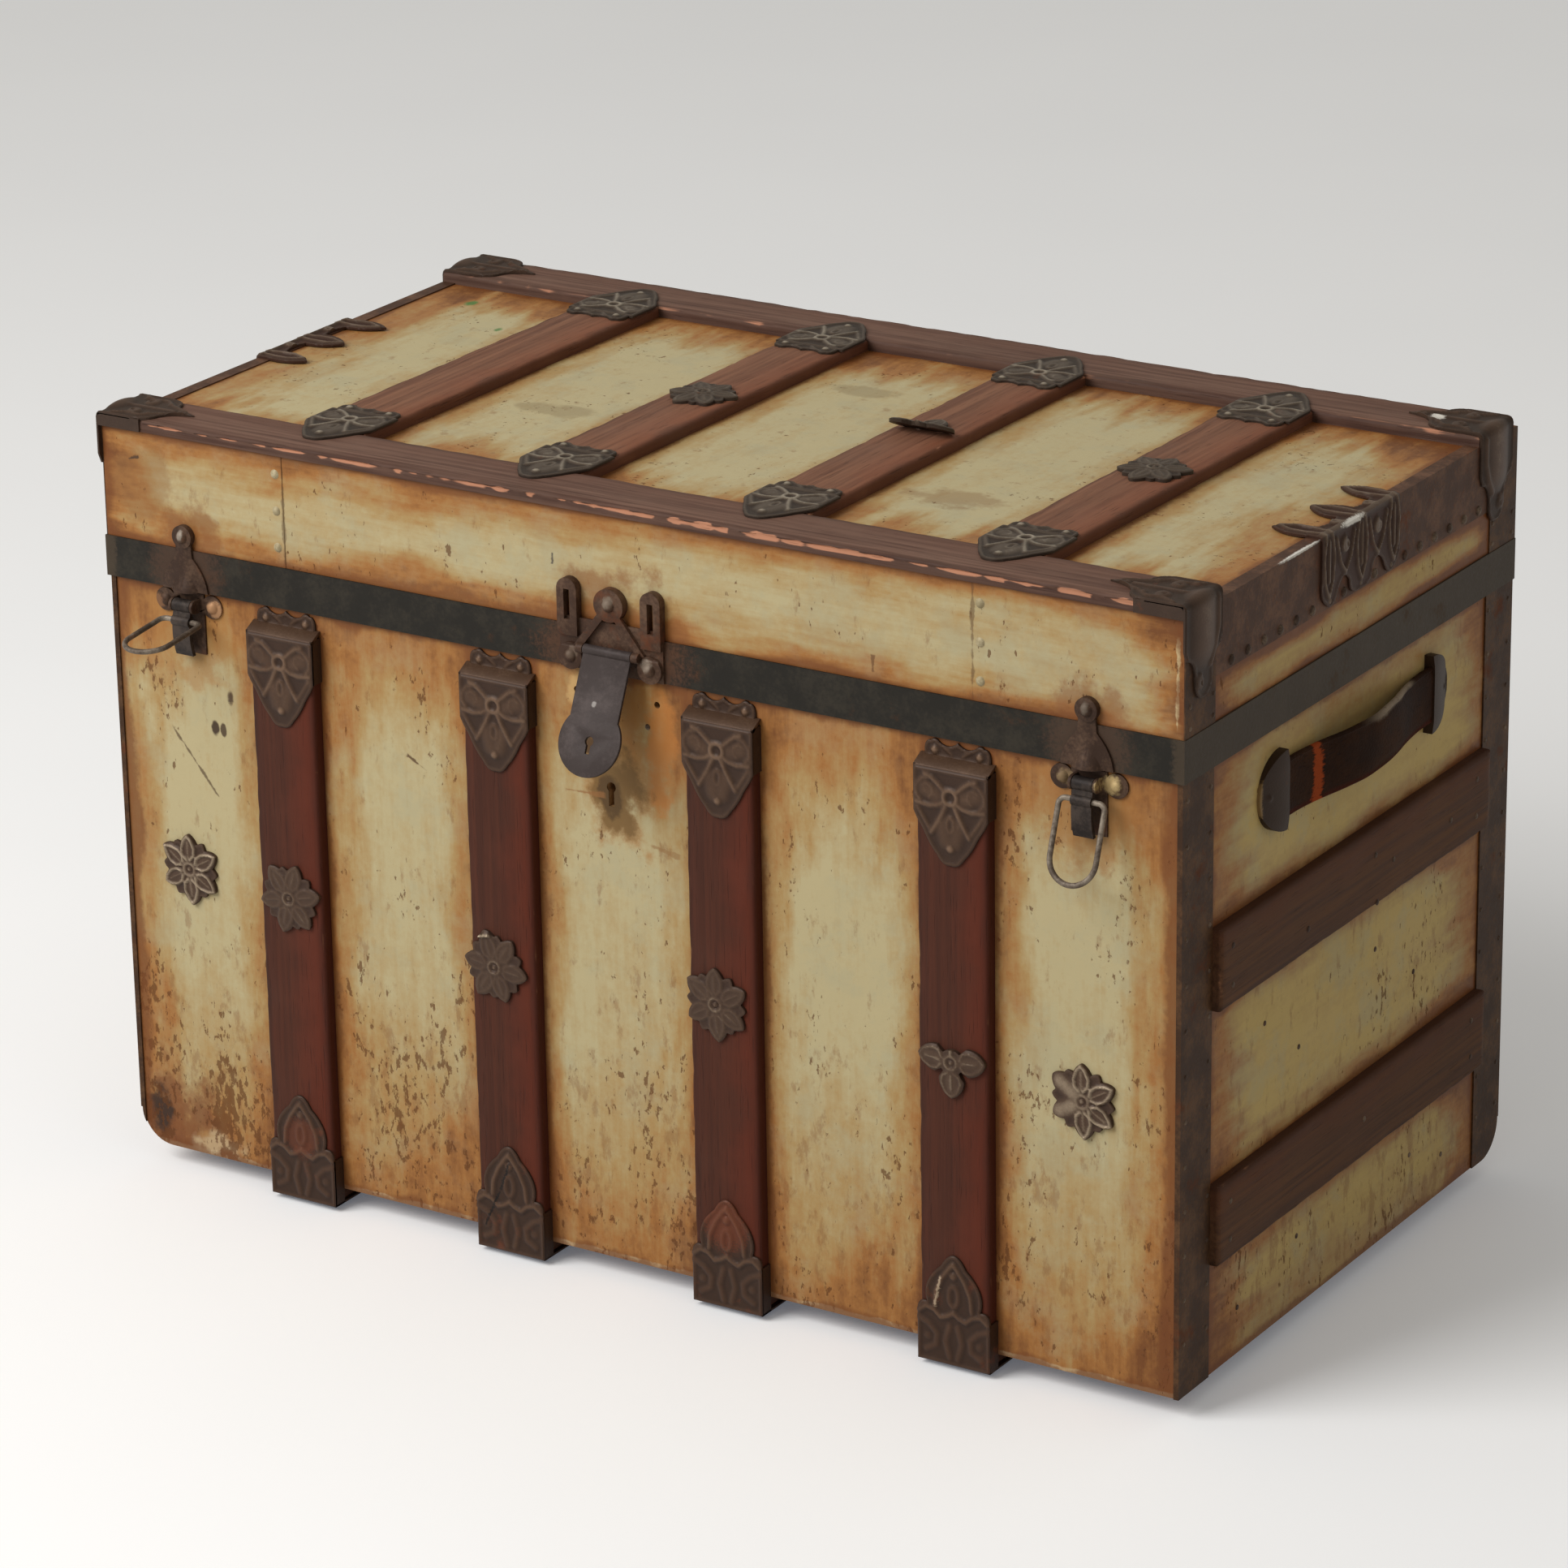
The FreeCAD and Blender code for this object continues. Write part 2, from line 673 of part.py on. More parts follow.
def handle_strap():
    """A flat strap that leaves each cap along the end and bows out between them."""
    bend_start = cap_mouth + strap_flat
    radius = (bend_start ** 2 + strap_bow ** 2) / (4 * strap_bow)
    sweep = math.acos(1 - strap_bow / (2 * radius))

    def side(offset):
        x0 = strap_inner + offset
        end = Vector(x0, cap_mouth - strap_tuck, 0)
        start = Vector(x0, bend_start, 0)
        foot_radius = radius - offset
        crown_radius = radius + offset

        def foot(angle):
            return Vector(x0 + foot_radius * (1 - math.cos(angle)),
                          bend_start + foot_radius * math.sin(angle), 0)

        def crown(angle):
            return Vector(x0 + strap_bow - crown_radius * (1 - math.cos(angle)),
                          crown_radius * math.sin(angle), 0)

        turn = foot(sweep)
        return [
            Part.LineSegment(end, start).toShape(),
            Part.Arc(start, foot(sweep / 2), turn).toShape(),
            Part.Arc(turn, crown(0), mirror_point(turn)).toShape(),
            Part.Arc(mirror_point(turn), mirror_point(foot(sweep / 2)), mirror_point(start)).toShape(),
            Part.LineSegment(mirror_point(start), mirror_point(end)).toShape(),
        ]

    inner = side(0)
    outer = side(strap_thickness)
    close = []
    for end in (cap_mouth - strap_tuck, strap_tuck - cap_mouth):
        close.append(Part.LineSegment(Vector(strap_inner, end, 0),
                                      Vector(strap_inner + strap_thickness, end, 0)).toShape())
    wire = Part.Wire(Part.__sortEdges__(inner + outer + close))
    strap = Part.Face(wire).extrude(Vector(0, 0, strap_width))
    return strap.translated(Vector(0, 0, handle_height - strap_width / 2))


def mirror_point(point):
    return Vector(point.x, -point.y, point.z)


right_strap = handle_strap()
nodes["right_handle_strap"] = right_strap
nodes["left_handle_strap"] = mirror_x(right_strap)
right_caps = [handle_cap(), mirror_y(handle_cap())]
nodes["right_handle_caps"] = Part.makeCompound(right_caps)
nodes["left_handle_caps"] = Part.makeCompound([mirror_x(cap) for cap in right_caps])

# Draw latches: a plate on the base with a bowed lever, and a wire bail that hangs from the lever
latch_pivot_y = front_y - latch_sheet - latch_back_gap - lever_eye_radius
lug_inner = lever_width / 2 + latch_side_gap
lug_outer = lug_inner + latch_lug_thickness
plate_top = latch_pivot_height + latch_ear_radius
bail_pivot_height = latch_pivot_height - bail_drop
lever_middle_share = 1 - 2 * bail_drop / lever_length
bail_pivot_y = latch_pivot_y - lever_bow * (1 - lever_middle_share ** 2)


def latch_plate():
    """The riveted plate of a latch, with two ears and two lugs, drawn about x = 0."""
    back = block(-latch_plate_width / 2, latch_plate_width / 2, front_y - latch_sheet, front_y,
                 latch_pivot_height - latch_plate_length, plate_top)
    pieces = [back]
    for side in (-1, 1):
        ear = Vector(side * latch_ear_spread, front_y, latch_pivot_height)
        pieces.append(rod(ear, Vector(0, -1, 0), latch_ear_radius, latch_sheet))
        pieces.append(on_front(dome(latch_rivet_radius, latch_rivet_height), ear.x,
                               front_y - latch_sheet, ear.z))
        lug_start = side * (lug_inner + lug_outer) / 2 - latch_lug_thickness / 2
        pieces.append(rod(Vector(lug_start, latch_pivot_y, latch_pivot_height), Vector(1, 0, 0),
                          latch_lug_radius, latch_lug_thickness))
        pieces.append(block(lug_start, lug_start + latch_lug_thickness, latch_pivot_y, front_y,
                            latch_pivot_height - latch_lug_radius, latch_pivot_height + latch_lug_radius))
    bore = rod(Vector(-lug_outer - overrun, latch_pivot_y, latch_pivot_height), Vector(1, 0, 0),
               latch_pin_radius + running_clearance, 2 * (lug_outer + overrun))
    return fuse(pieces).cut(bore)


def latch_lever():
    """A bowed strap with an eye at its pivot and a boss for the bail, drawn about x = 0."""
    half = lever_thickness / 2
    tip = latch_pivot_height - lever_length
    middle = latch_pivot_height - lever_length / 2

    def bowed(offset):
        return [Vector(-lever_width / 2, latch_pivot_y + offset, latch_pivot_height),
                Vector(-lever_width / 2, latch_pivot_y + offset - lever_bow, middle),
                Vector(-lever_width / 2, latch_pivot_y + offset, tip)]

    inner = bowed(half)
    outer = bowed(-half)
    wire = Part.Wire([
        Part.Arc(*inner).toShape(),
        Part.LineSegment(inner[2], outer[2]).toShape(),
        Part.Arc(*reversed(outer)).toShape(),
        Part.LineSegment(outer[0], inner[0]).toShape(),
    ])
    strap = Part.Face(wire).extrude(Vector(lever_width, 0, 0))
    eye_start = Vector(-lever_width / 2, latch_pivot_y, latch_pivot_height)
    boss_start = Vector(-lever_width / 2, bail_pivot_y, bail_pivot_height)
    lever = fuse([
        strap,
        rod(eye_start, Vector(1, 0, 0), lever_eye_radius, lever_width),
        rod(boss_start, Vector(1, 0, 0), 2 * bail_wire_radius, lever_width),
    ])
    bores = [
        rod(eye_start - Vector(overrun, 0, 0), Vector(1, 0, 0), latch_pin_radius + running_clearance,
            lever_width + 2 * overrun),
        rod(boss_start - Vector(overrun, 0, 0), Vector(1, 0, 0), bail_wire_radius + running_clearance,
            lever_width + 2 * overrun),
    ]
    return lever.cut(bores)


def latch_bail(lean):
    """One bent wire: two ends turned into the lever, two arms and a round loop, swung out by lean."""
    stub = lever_width / 2 - bail_stub_depth
    arm_end = bail_half_width - bail_length
    corner = bail_bend_radius * math.sqrt(1 / 2)

    def at(x, z):
        return Vector(x, bail_pivot_y, bail_pivot_height + z)

    def half_path(side):
        bend_middle = at(side * (bail_half_width - bail_bend_radius + corner), corner - bail_bend_radius)
        bend_start = at(side * (bail_half_width - bail_bend_radius), 0)
        bend_end = at(side * bail_half_width, -bail_bend_radius)
        return [Part.LineSegment(at(side * stub, 0), bend_start).toShape(),
                Part.Arc(bend_start, bend_middle, bend_end).toShape(),
                Part.LineSegment(bend_end, at(side * bail_half_width, arm_end)).toShape()]

    loop = Part.Arc(at(bail_half_width, arm_end), at(0, -bail_length),
                    at(-bail_half_width, arm_end)).toShape()
    path = Part.Wire(Part.__sortEdges__(half_path(1) + [loop] + half_path(-1)))
    ring = Part.Wire(Part.makeCircle(bail_wire_radius, at(stub, 0), Vector(1, 0, 0)))
    wire = path.makePipeShell([ring], True, False)
    wire.rotate(Vector(0, bail_pivot_y, bail_pivot_height), Vector(-1, 0, 0), lean)
    return wire


def at_latches(shape):
    return [shape.translated(Vector(side * latch_place, 0, 0)) for side in (-1, 1)]


latch_pin = rod(Vector(-lug_outer, latch_pivot_y, latch_pivot_height), Vector(1, 0, 0), latch_pin_radius,
                2 * lug_outer)
nodes["latch_plates"] = Part.makeCompound(at_latches(latch_plate()))
nodes["latch_pins"] = Part.makeCompound(at_latches(latch_pin))
nodes["left_latch_lever"], nodes["right_latch_lever"] = at_latches(latch_lever())
nodes["left_latch_bail"] = at_latches(latch_bail(left_bail_lean))[0]
nodes["right_latch_bail"] = at_latches(latch_bail(right_bail_lean))[1]

# Butt hinges on the back, between the slats
hinge_axis_y = back_y + hinge_stand_off + hinge_barrel_radius
hinge_axis_z = base_height + rim_gap / 2
knuckle_length = hinge_width / 3
knuckle_shoulder = hinge_barrel_radius + knuckle_gap
hinge_places = [-slat_pitch, 0, slat_pitch]


def hinge_leaf_with(knuckles):
    """A leaf below the axis with the knuckles given as spans along X."""
    leaf = block(-hinge_width / 2, hinge_width / 2, back_y, back_y + hinge_leaf,
                 hinge_axis_z - hinge_leaf_height, hinge_axis_z - knuckle_shoulder)
    pieces = [leaf]
    for start, end in knuckles:
        pieces.append(block(start, end, back_y, back_y + hinge_leaf,
                            hinge_axis_z - knuckle_shoulder, hinge_axis_z))
        pieces.append(rod(Vector(start, hinge_axis_y, hinge_axis_z), Vector(1, 0, 0), hinge_barrel_radius,
                          end - start))
    bore = rod(Vector(-hinge_width, hinge_axis_y, hinge_axis_z), Vector(1, 0, 0),
               hinge_pin_radius + running_clearance, 2 * hinge_width)
    return fuse(pieces).cut(bore)


outer_knuckles = [(-hinge_width / 2, -knuckle_length / 2), (knuckle_length / 2, hinge_width / 2)]
middle_knuckle = [(knuckle_gap - knuckle_length / 2, knuckle_length / 2 - knuckle_gap)]
base_leaf = hinge_leaf_with(outer_knuckles)
lid_leaf = hinge_leaf_with(middle_knuckle).mirror(Vector(0, 0, hinge_axis_z), Vector(0, 0, 1))
hinge_pin = rod(Vector(-hinge_width / 2, hinge_axis_y, hinge_axis_z), Vector(1, 0, 0),
                hinge_pin_radius, hinge_width)


def at_hinges(shape):
    return Part.makeCompound([shape.translated(Vector(x, 0, 0)) for x in hinge_places])


nodes["base_hinge_leaves"] = at_hinges(base_leaf)
nodes["lid_hinge_leaves"] = at_hinges(lid_leaf)
nodes["hinge_pins"] = at_hinges(hinge_pin)

# Pine boards of the lid: the top lies on four walls
lid_wall_front = lid_front + cover
lid_wall_back = back_y - cover
nodes["lid_top_board"] = block(-lid_board_x, lid_board_x, lid_wall_front, lid_wall_back,
                               lid_board_under, lid_board_top)
nodes["lid_front_board"] = block(-lid_board_x, lid_board_x, lid_wall_front, lid_wall_front + board,
                                 lid_rim, lid_board_under)
nodes["lid_back_board"] = block(-lid_board_x, lid_board_x, lid_wall_back - board, lid_wall_back,
                                lid_rim, lid_board_under)
lid_end_board = block(lid_board_x - board, lid_board_x, lid_wall_front + board, lid_wall_back - board,
                      lid_rim, lid_board_under)
nodes["lid_right_end_board"], nodes["lid_left_end_board"] = both_ends(lid_end_board)

# Painted covering sheets of the lid; the front is three sheets lapped and riveted at two seams
nodes["lid_top_cover"] = block(-lid_half_width, lid_half_width, lid_front, back_y, lid_board_top, lid_top)
front_middle_sheet = block(-seam_place, seam_place, lid_front + seam_step, lid_wall_front,
                           lid_rim, lid_board_top)
front_side_sheet = block(seam_place, lid_half_width, lid_front, lid_wall_front, lid_rim, lid_board_top)
nodes["lid_front_sheets"] = Part.makeCompound([front_middle_sheet] + both_ends(front_side_sheet))
nodes["lid_back_cover"] = block(-lid_half_width, lid_half_width, lid_wall_back, back_y,
                                lid_rim, lid_board_top)
lid_end_cover = block(lid_board_x, lid_half_width, lid_wall_front, lid_wall_back, lid_rim, lid_board_top)
nodes["lid_end_covers"] = Part.makeCompound(both_ends(lid_end_cover))
seam_middle = (band_top + lid_top) / 2
seam_rivets = []
for step in (-1, 0, 1):
    rivet = on_front(dome(seam_rivet_radius, seam_rivet_height), seam_place + seam_rivet_inset, lid_front,
                     seam_middle + step * seam_rivet_pitch)
    seam_rivets += both_ends(rivet)
nodes["seam_rivets"] = Part.makeCompound(seam_rivets)

# Lid slats: one along each long edge and four across between them
cross_slat_back = 2 * slat_frame_y - edge_slat_back
edge_slat = block(-edge_slat_end, edge_slat_end, edge_slat_front, edge_slat_back, lid_top, lid_slat_top)
edge_slat = rounded(edge_slat, slat_round, lambda middle: same(middle.z, lid_slat_top) and same(middle.x, 0))
nodes["lid_front_edge_slat"] = edge_slat
nodes["lid_back_edge_slat"] = mirror_y(edge_slat, slat_frame_y)


def cross_slat(x):
    slat = block(x - slat_width / 2, x + slat_width / 2, edge_slat_back, cross_slat_back,
                 lid_top, lid_slat_top)
    return rounded(slat, slat_round,
                   lambda middle: same(middle.z, lid_slat_top) and not same(middle.x, x))


nodes["lid_cross_slats"] = Part.makeCompound([cross_slat(x) for x in lid_slat_places])


def lid_clasp(x):
    """A clasp laid flat over the joint of a cross slat and the front edge slat, its tip to the front."""
    tip = edge_slat_front + lid_clasp_setback
    return fuse([
        pressed_tongue().translated(Vector(x, tip, lid_slat_top)),
        pressed_tab().translated(Vector(x, tip + clasp_tongue, lid_slat_top)),
    ])


lid_clasps = [lid_clasp(x) for x in lid_slat_places]
lid_clasps += [mirror_y(clasp, slat_frame_y) for clasp in lid_clasps]
nodes["lid_slat_clasps"] = Part.makeCompound(lid_clasps)
nodes["lid_rosettes"] = Part.makeCompound([
    piece.translated(Vector(x, lid_middle_y, lid_slat_top))
    for piece, x in zip((whole_rosette, mirror_y(half_rosette), whole_rosette), lid_slat_places[1:])
])

# Steel band round the rim of the lid, on the front and both ends
front_band = block(-lid_half_width - band_thickness, lid_half_width + band_thickness, band_face, lid_front,
                   band_bottom, band_top)
end_band = block(lid_half_width, lid_half_width + band_thickness, lid_front, back_y, band_bottom, band_top)
nodes["lid_band"] = Part.makeCompound([front_band] + both_ends(end_band))

# Bindings on the ends of the lid: upright strips at the corners, and a strip folded over the top edge
lid_binding_face = lid_half_width + lid_binding_thickness
lid_corner = block(lid_half_width, lid_binding_face, lid_front, lid_front + binding_width, band_top, lid_top)
nodes["lid_corner_bindings"] = Part.makeCompound(
    both_ends(lid_corner) + both_ends(mirror_y(lid_corner, lid_middle_y)))
end_binding = fuse([
    block(lid_half_width, lid_binding_face, lid_front + binding_width, back_y - binding_width,
          lid_top - end_binding_height, lid_top),
    block(lid_half_width - end_binding_return, lid_binding_face, edge_slat_back, cross_slat_back,
          lid_top, lid_top + lid_binding_thickness),
])
nodes["lid_end_bindings"] = Part.makeCompound(both_ends(end_binding))


def corner_cap():
    """The front right cap: a leaf on the slat, a lip over its front and a tongue down the end."""
    face_x = edge_slat_end + clasp_sheet
    top = lid_slat_top + clasp_sheet
    front = edge_slat_front - clasp_sheet
    leaf_width = edge_slat_back - front
    leaf_middle = (edge_slat_back + front) / 2
    leaf = symmetric_face(cap_leaf_shares, lambda u, v: Vector(face_x - v * cap_length,
                                                               leaf_middle + u * leaf_width, lid_slat_top))
    tongue_low = lid_slat_top - cap_tongue_drop
    tongue_middle = front + cap_tongue_width / 2
    tongue = symmetric_face(cap_tongue_shares, lambda u, v: Vector(edge_slat_end,
                                                                   tongue_middle + u * cap_tongue_width,
                                                                   tongue_low + v * cap_tongue_drop))
    return fuse([
        leaf.extrude(Vector(0, 0, clasp_sheet)),
        tongue.extrude(Vector(clasp_sheet, 0, 0)),
        block(edge_slat_end, face_x, front, edge_slat_back, lid_top, top),
        block(edge_slat_end - cap_lip_length, face_x, front, edge_slat_front, lid_top, top),
    ])


front_caps = both_ends(corner_cap())
nodes["lid_corner_caps"] = Part.makeCompound(front_caps + [mirror_y(cap, slat_frame_y) for cap in front_caps])


def end_ornament():
    """A pierced ornament bent over the middle of the lid's right top edge."""
    face_x = lid_binding_face + clasp_sheet
    under = lid_top + lid_binding_thickness
    top = under + clasp_sheet
    low = top - ornament_drop

    def on_top(u, v):
        return Vector(face_x - v * ornament_reach, lid_middle_y + u * ornament_width, under)

    def on_end(u, v):
        return Vector(lid_binding_face, lid_middle_y + u * ornament_width, low + v * ornament_drop)

    prongs = symmetric_face(ornament_top_shares, on_top)
    apron = symmetric_face(ornament_drop_shares, on_end).extrude(Vector(clasp_sheet, 0, 0))
    holes = [rod(on_end(u, v) - Vector(overrun, 0, 0), Vector(1, 0, 0), ornament_hole_radius, 2 * overrun)
             for u, v in ornament_hole_shares]
    return fuse([prongs.extrude(Vector(0, 0, clasp_sheet)), apron.cut(holes)])


nodes["lid_end_ornaments"] = Part.makeCompound(both_ends(end_ornament()))

# Keepers of the draw latches, riveted over the band


def latch_keeper():
    """A flared plate with a round tab above and a bell-shaped hood below, drawn about x = 0."""
    plate_face = band_face - plate_sheet
    height = keeper_tab_height - band_bottom
    plate = symmetric_face(keeper_shares,
                           lambda u, v: Vector(u * keeper_width, plate_face, band_bottom + v * height))
    tab_face = plate_face - keeper_tab_proud
    tab = rod(Vector(0, tab_face, keeper_tab_height), Vector(0, 1, 0), keeper_tab_radius,
              lid_front - tab_face)
    rivet = on_front(dome(latch_rivet_radius, latch_rivet_height), 0, tab_face, keeper_tab_height)
    hood_foot = Vector(0, plate_face + keeper_hood_sink, band_bottom)
    hood = Part.makeCone(keeper_hood_radius, keeper_hood_top_radius, keeper_hood_height, hood_foot)
    hollow = Part.makeCone(keeper_hood_radius - clasp_sheet, keeper_hood_top_radius - clasp_sheet,
                           keeper_hood_height, hood_foot)
    proud = block(-keeper_width, keeper_width, plate_face - keeper_hood_radius, plate_face,
                  band_bottom, band_bottom + keeper_hood_height)
    hood = hood.cut(hollow).common(proud)
    return fuse([plate.extrude(Vector(0, plate_sheet, 0)), tab, rivet, hood])


nodes["latch_keepers"] = Part.makeCompound(at_latches(latch_keeper()))

# Hasp: a plate over the band with an upright loop each side and a braced ring, and a hinged tongue
hasp_plate_face = band_face - plate_sheet
hasp_pivot_y = hasp_plate_face - hinge_stand_off - hasp_knuckle_radius
hasp_cheek_inner = hasp_width / 2 + knuckle_gap
hasp_cheek_outer = hasp_cheek_inner + hasp_cheek
hasp_strap_face = hasp_plate_face - hasp_strap_thickness
hasp_ring_z = hasp_pivot_height + hasp_ring_height
hasp_eye_z = hasp_pivot_height - hasp_eye_drop


def hasp_loop(x):
    """An upright loop with a slot, standing from the plate's top corner."""
    tab_low = band_top - hasp_plate_rise
    tab_top = tab_low + hasp_tab_height - hasp_tab_width / 2
    half = hasp_tab_width / 2
    body = fuse([
        block(x - half, x + half, hasp_strap_face, lid_front, band_top, tab_top),
        block(x - half, x + half, hasp_strap_face, hasp_plate_face, tab_low, band_top),
        rod(Vector(x, hasp_strap_face, tab_top), Vector(0, 1, 0), half, lid_front - hasp_strap_face),
    ])
    slot = block(x - hasp_tab_slot / 2, x + hasp_tab_slot / 2, hasp_strap_face - overrun, lid_front + overrun,
                 tab_top - hasp_tab_slot_length, tab_top)
    return body.cut(slot)


def hasp_brace(side):
    """A strap from the ring down to the eye on one side."""
    run_x = side * hasp_eye_place
    run_z = hasp_eye_z - hasp_ring_z
    length = math.hypot(run_x, run_z)
    strap = block(-hasp_strap_width / 2, hasp_strap_width / 2, hasp_strap_face, hasp_plate_face,
                  hasp_ring_radius - hasp_strap_width, length)
    strap.rotate(Vector(), Vector(0, 1, 0), math.degrees(math.atan2(run_x, run_z)))
    return strap.translated(Vector(hasp_place, 0, hasp_ring_z))


def hasp_plate():
    half = hasp_plate_width / 2
    pieces = [block(hasp_place - half, hasp_place + half, hasp_plate_face, band_face, band_bottom,
                    band_top + hasp_plate_rise)]
    rivet = dome(hasp_rivet_radius, hasp_rivet_height)
    ring = rod(Vector(hasp_place, hasp_strap_face, hasp_ring_z), Vector(0, 1, 0), hasp_ring_radius,
               lid_front - hasp_strap_face)
    pieces.append(ring)
    pieces.append(on_front(rivet, hasp_place, hasp_strap_face, hasp_ring_z))
    for side in (-1, 1):
        pieces.append(hasp_loop(hasp_place + side * (half - hasp_tab_width / 2)))
        pieces.append(hasp_brace(side))
        eye = Vector(hasp_place + side * hasp_eye_place, hasp_strap_face, hasp_eye_z)
        pieces.append(rod(eye, Vector(0, 1, 0), hasp_eye_radius, hasp_strap_thickness))
        pieces.append(on_front(rivet, eye.x, hasp_strap_face, eye.z))
        cheek_start = hasp_place + side * (hasp_cheek_inner + hasp_cheek_outer) / 2 - hasp_cheek / 2
        pieces.append(rod(Vector(cheek_start, hasp_pivot_y, hasp_pivot_height), Vector(1, 0, 0),
                          hasp_knuckle_radius, hasp_cheek))
        pieces.append(block(cheek_start, cheek_start + hasp_cheek, hasp_pivot_y, hasp_plate_face,
                            hasp_pivot_height - hasp_knuckle_radius, hasp_pivot_height + hasp_knuckle_radius))
    bore = rod(Vector(hasp_place - hasp_plate_width, hasp_pivot_y, hasp_pivot_height), Vector(1, 0, 0),
               hasp_pin_radius + running_clearance, 2 * hasp_plate_width)
    return fuse(pieces).cut(bore)


def hasp_tongue():
    """A flat strap with a rolled knuckle above and a round end with a key slot below."""
    front = hasp_pivot_y - hasp_thickness / 2
    disc_z = hasp_pivot_height - hasp_length
    tongue = fuse([
        block(hasp_place - hasp_width / 2, hasp_place + hasp_width / 2, front, front + hasp_thickness,
              disc_z, hasp_pivot_height),
        rod(Vector(hasp_place, front, disc_z), Vector(0, 1, 0), hasp_disc_radius, hasp_thickness),
        rod(Vector(hasp_place - hasp_width / 2, hasp_pivot_y, hasp_pivot_height), Vector(1, 0, 0),
            hasp_knuckle_radius, hasp_width),
    ])
    bore = rod(Vector(hasp_place - hasp_width, hasp_pivot_y, hasp_pivot_height), Vector(1, 0, 0),
               hasp_pin_radius + running_clearance, 2 * hasp_width)
    key_slot = fuse([
        rod(Vector(hasp_place, front - overrun, disc_z), Vector(0, 1, 0), hasp_key_radius,
            2 * overrun + hasp_thickness),
        block(hasp_place - hasp_key_radius / 2, hasp_place + hasp_key_radius / 2, front - overrun,
              front + hasp_thickness + overrun, disc_z - hasp_key_slot, disc_z),
    ])
    tongue = tongue.cut(bore).cut(key_slot)
    tongue.rotate(Vector(hasp_place, hasp_pivot_y, hasp_pivot_height), Vector(-1, 0, 0), hasp_lean)
    return tongue


nodes["hasp_plate"] = hasp_plate()
nodes["hasp_pin"] = rod(Vector(hasp_place - hasp_cheek_outer, hasp_pivot_y, hasp_pivot_height),
                        Vector(1, 0, 0), hasp_pin_radius, 2 * hasp_cheek_outer)
nodes["hasp"] = hasp_tongue()

os.makedirs("parts", exist_ok=True)
for name, shape in nodes.items():
    lifted = shape.translated(Vector(0, 0, floor_gap))
    lifted.exportStep(os.path.join("parts", name + ".step"))
print(len(nodes), "nodes written")
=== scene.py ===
import math

import bmesh
import bpy
import numpy
from mathutils import Matrix, Vector, noise


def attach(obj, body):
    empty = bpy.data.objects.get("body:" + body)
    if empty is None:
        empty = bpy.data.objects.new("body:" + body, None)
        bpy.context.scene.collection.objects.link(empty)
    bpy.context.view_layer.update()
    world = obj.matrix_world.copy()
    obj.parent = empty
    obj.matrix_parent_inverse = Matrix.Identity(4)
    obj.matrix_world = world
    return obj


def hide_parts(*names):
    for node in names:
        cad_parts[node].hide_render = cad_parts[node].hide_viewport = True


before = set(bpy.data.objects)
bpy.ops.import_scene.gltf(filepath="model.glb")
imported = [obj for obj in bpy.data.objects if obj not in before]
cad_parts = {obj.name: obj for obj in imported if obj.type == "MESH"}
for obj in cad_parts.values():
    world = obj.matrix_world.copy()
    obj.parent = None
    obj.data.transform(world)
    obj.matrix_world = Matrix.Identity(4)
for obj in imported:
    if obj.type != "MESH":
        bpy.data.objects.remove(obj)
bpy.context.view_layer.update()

# Case boards: planed pine nailed at the corners, with the bottom let in between the walls.
# They show inside the open trunk and under it, dry and darkened with age.
mm = 0.001
pine_boards = (
    "front_board", "back_board", "right_end_board", "left_end_board", "bottom_board", "lid_top_board",
    "lid_front_board", "lid_back_board", "lid_right_end_board", "lid_left_end_board",
)


def plug(tree, node, sockets):
    """Fills a node's inputs with plain values or with links from other nodes."""
    for key, value in sockets.items():
        if isinstance(value, Socket):
            tree.links.new(value.output, node.inputs[key])
        else:
            node.inputs[key].default_value = value


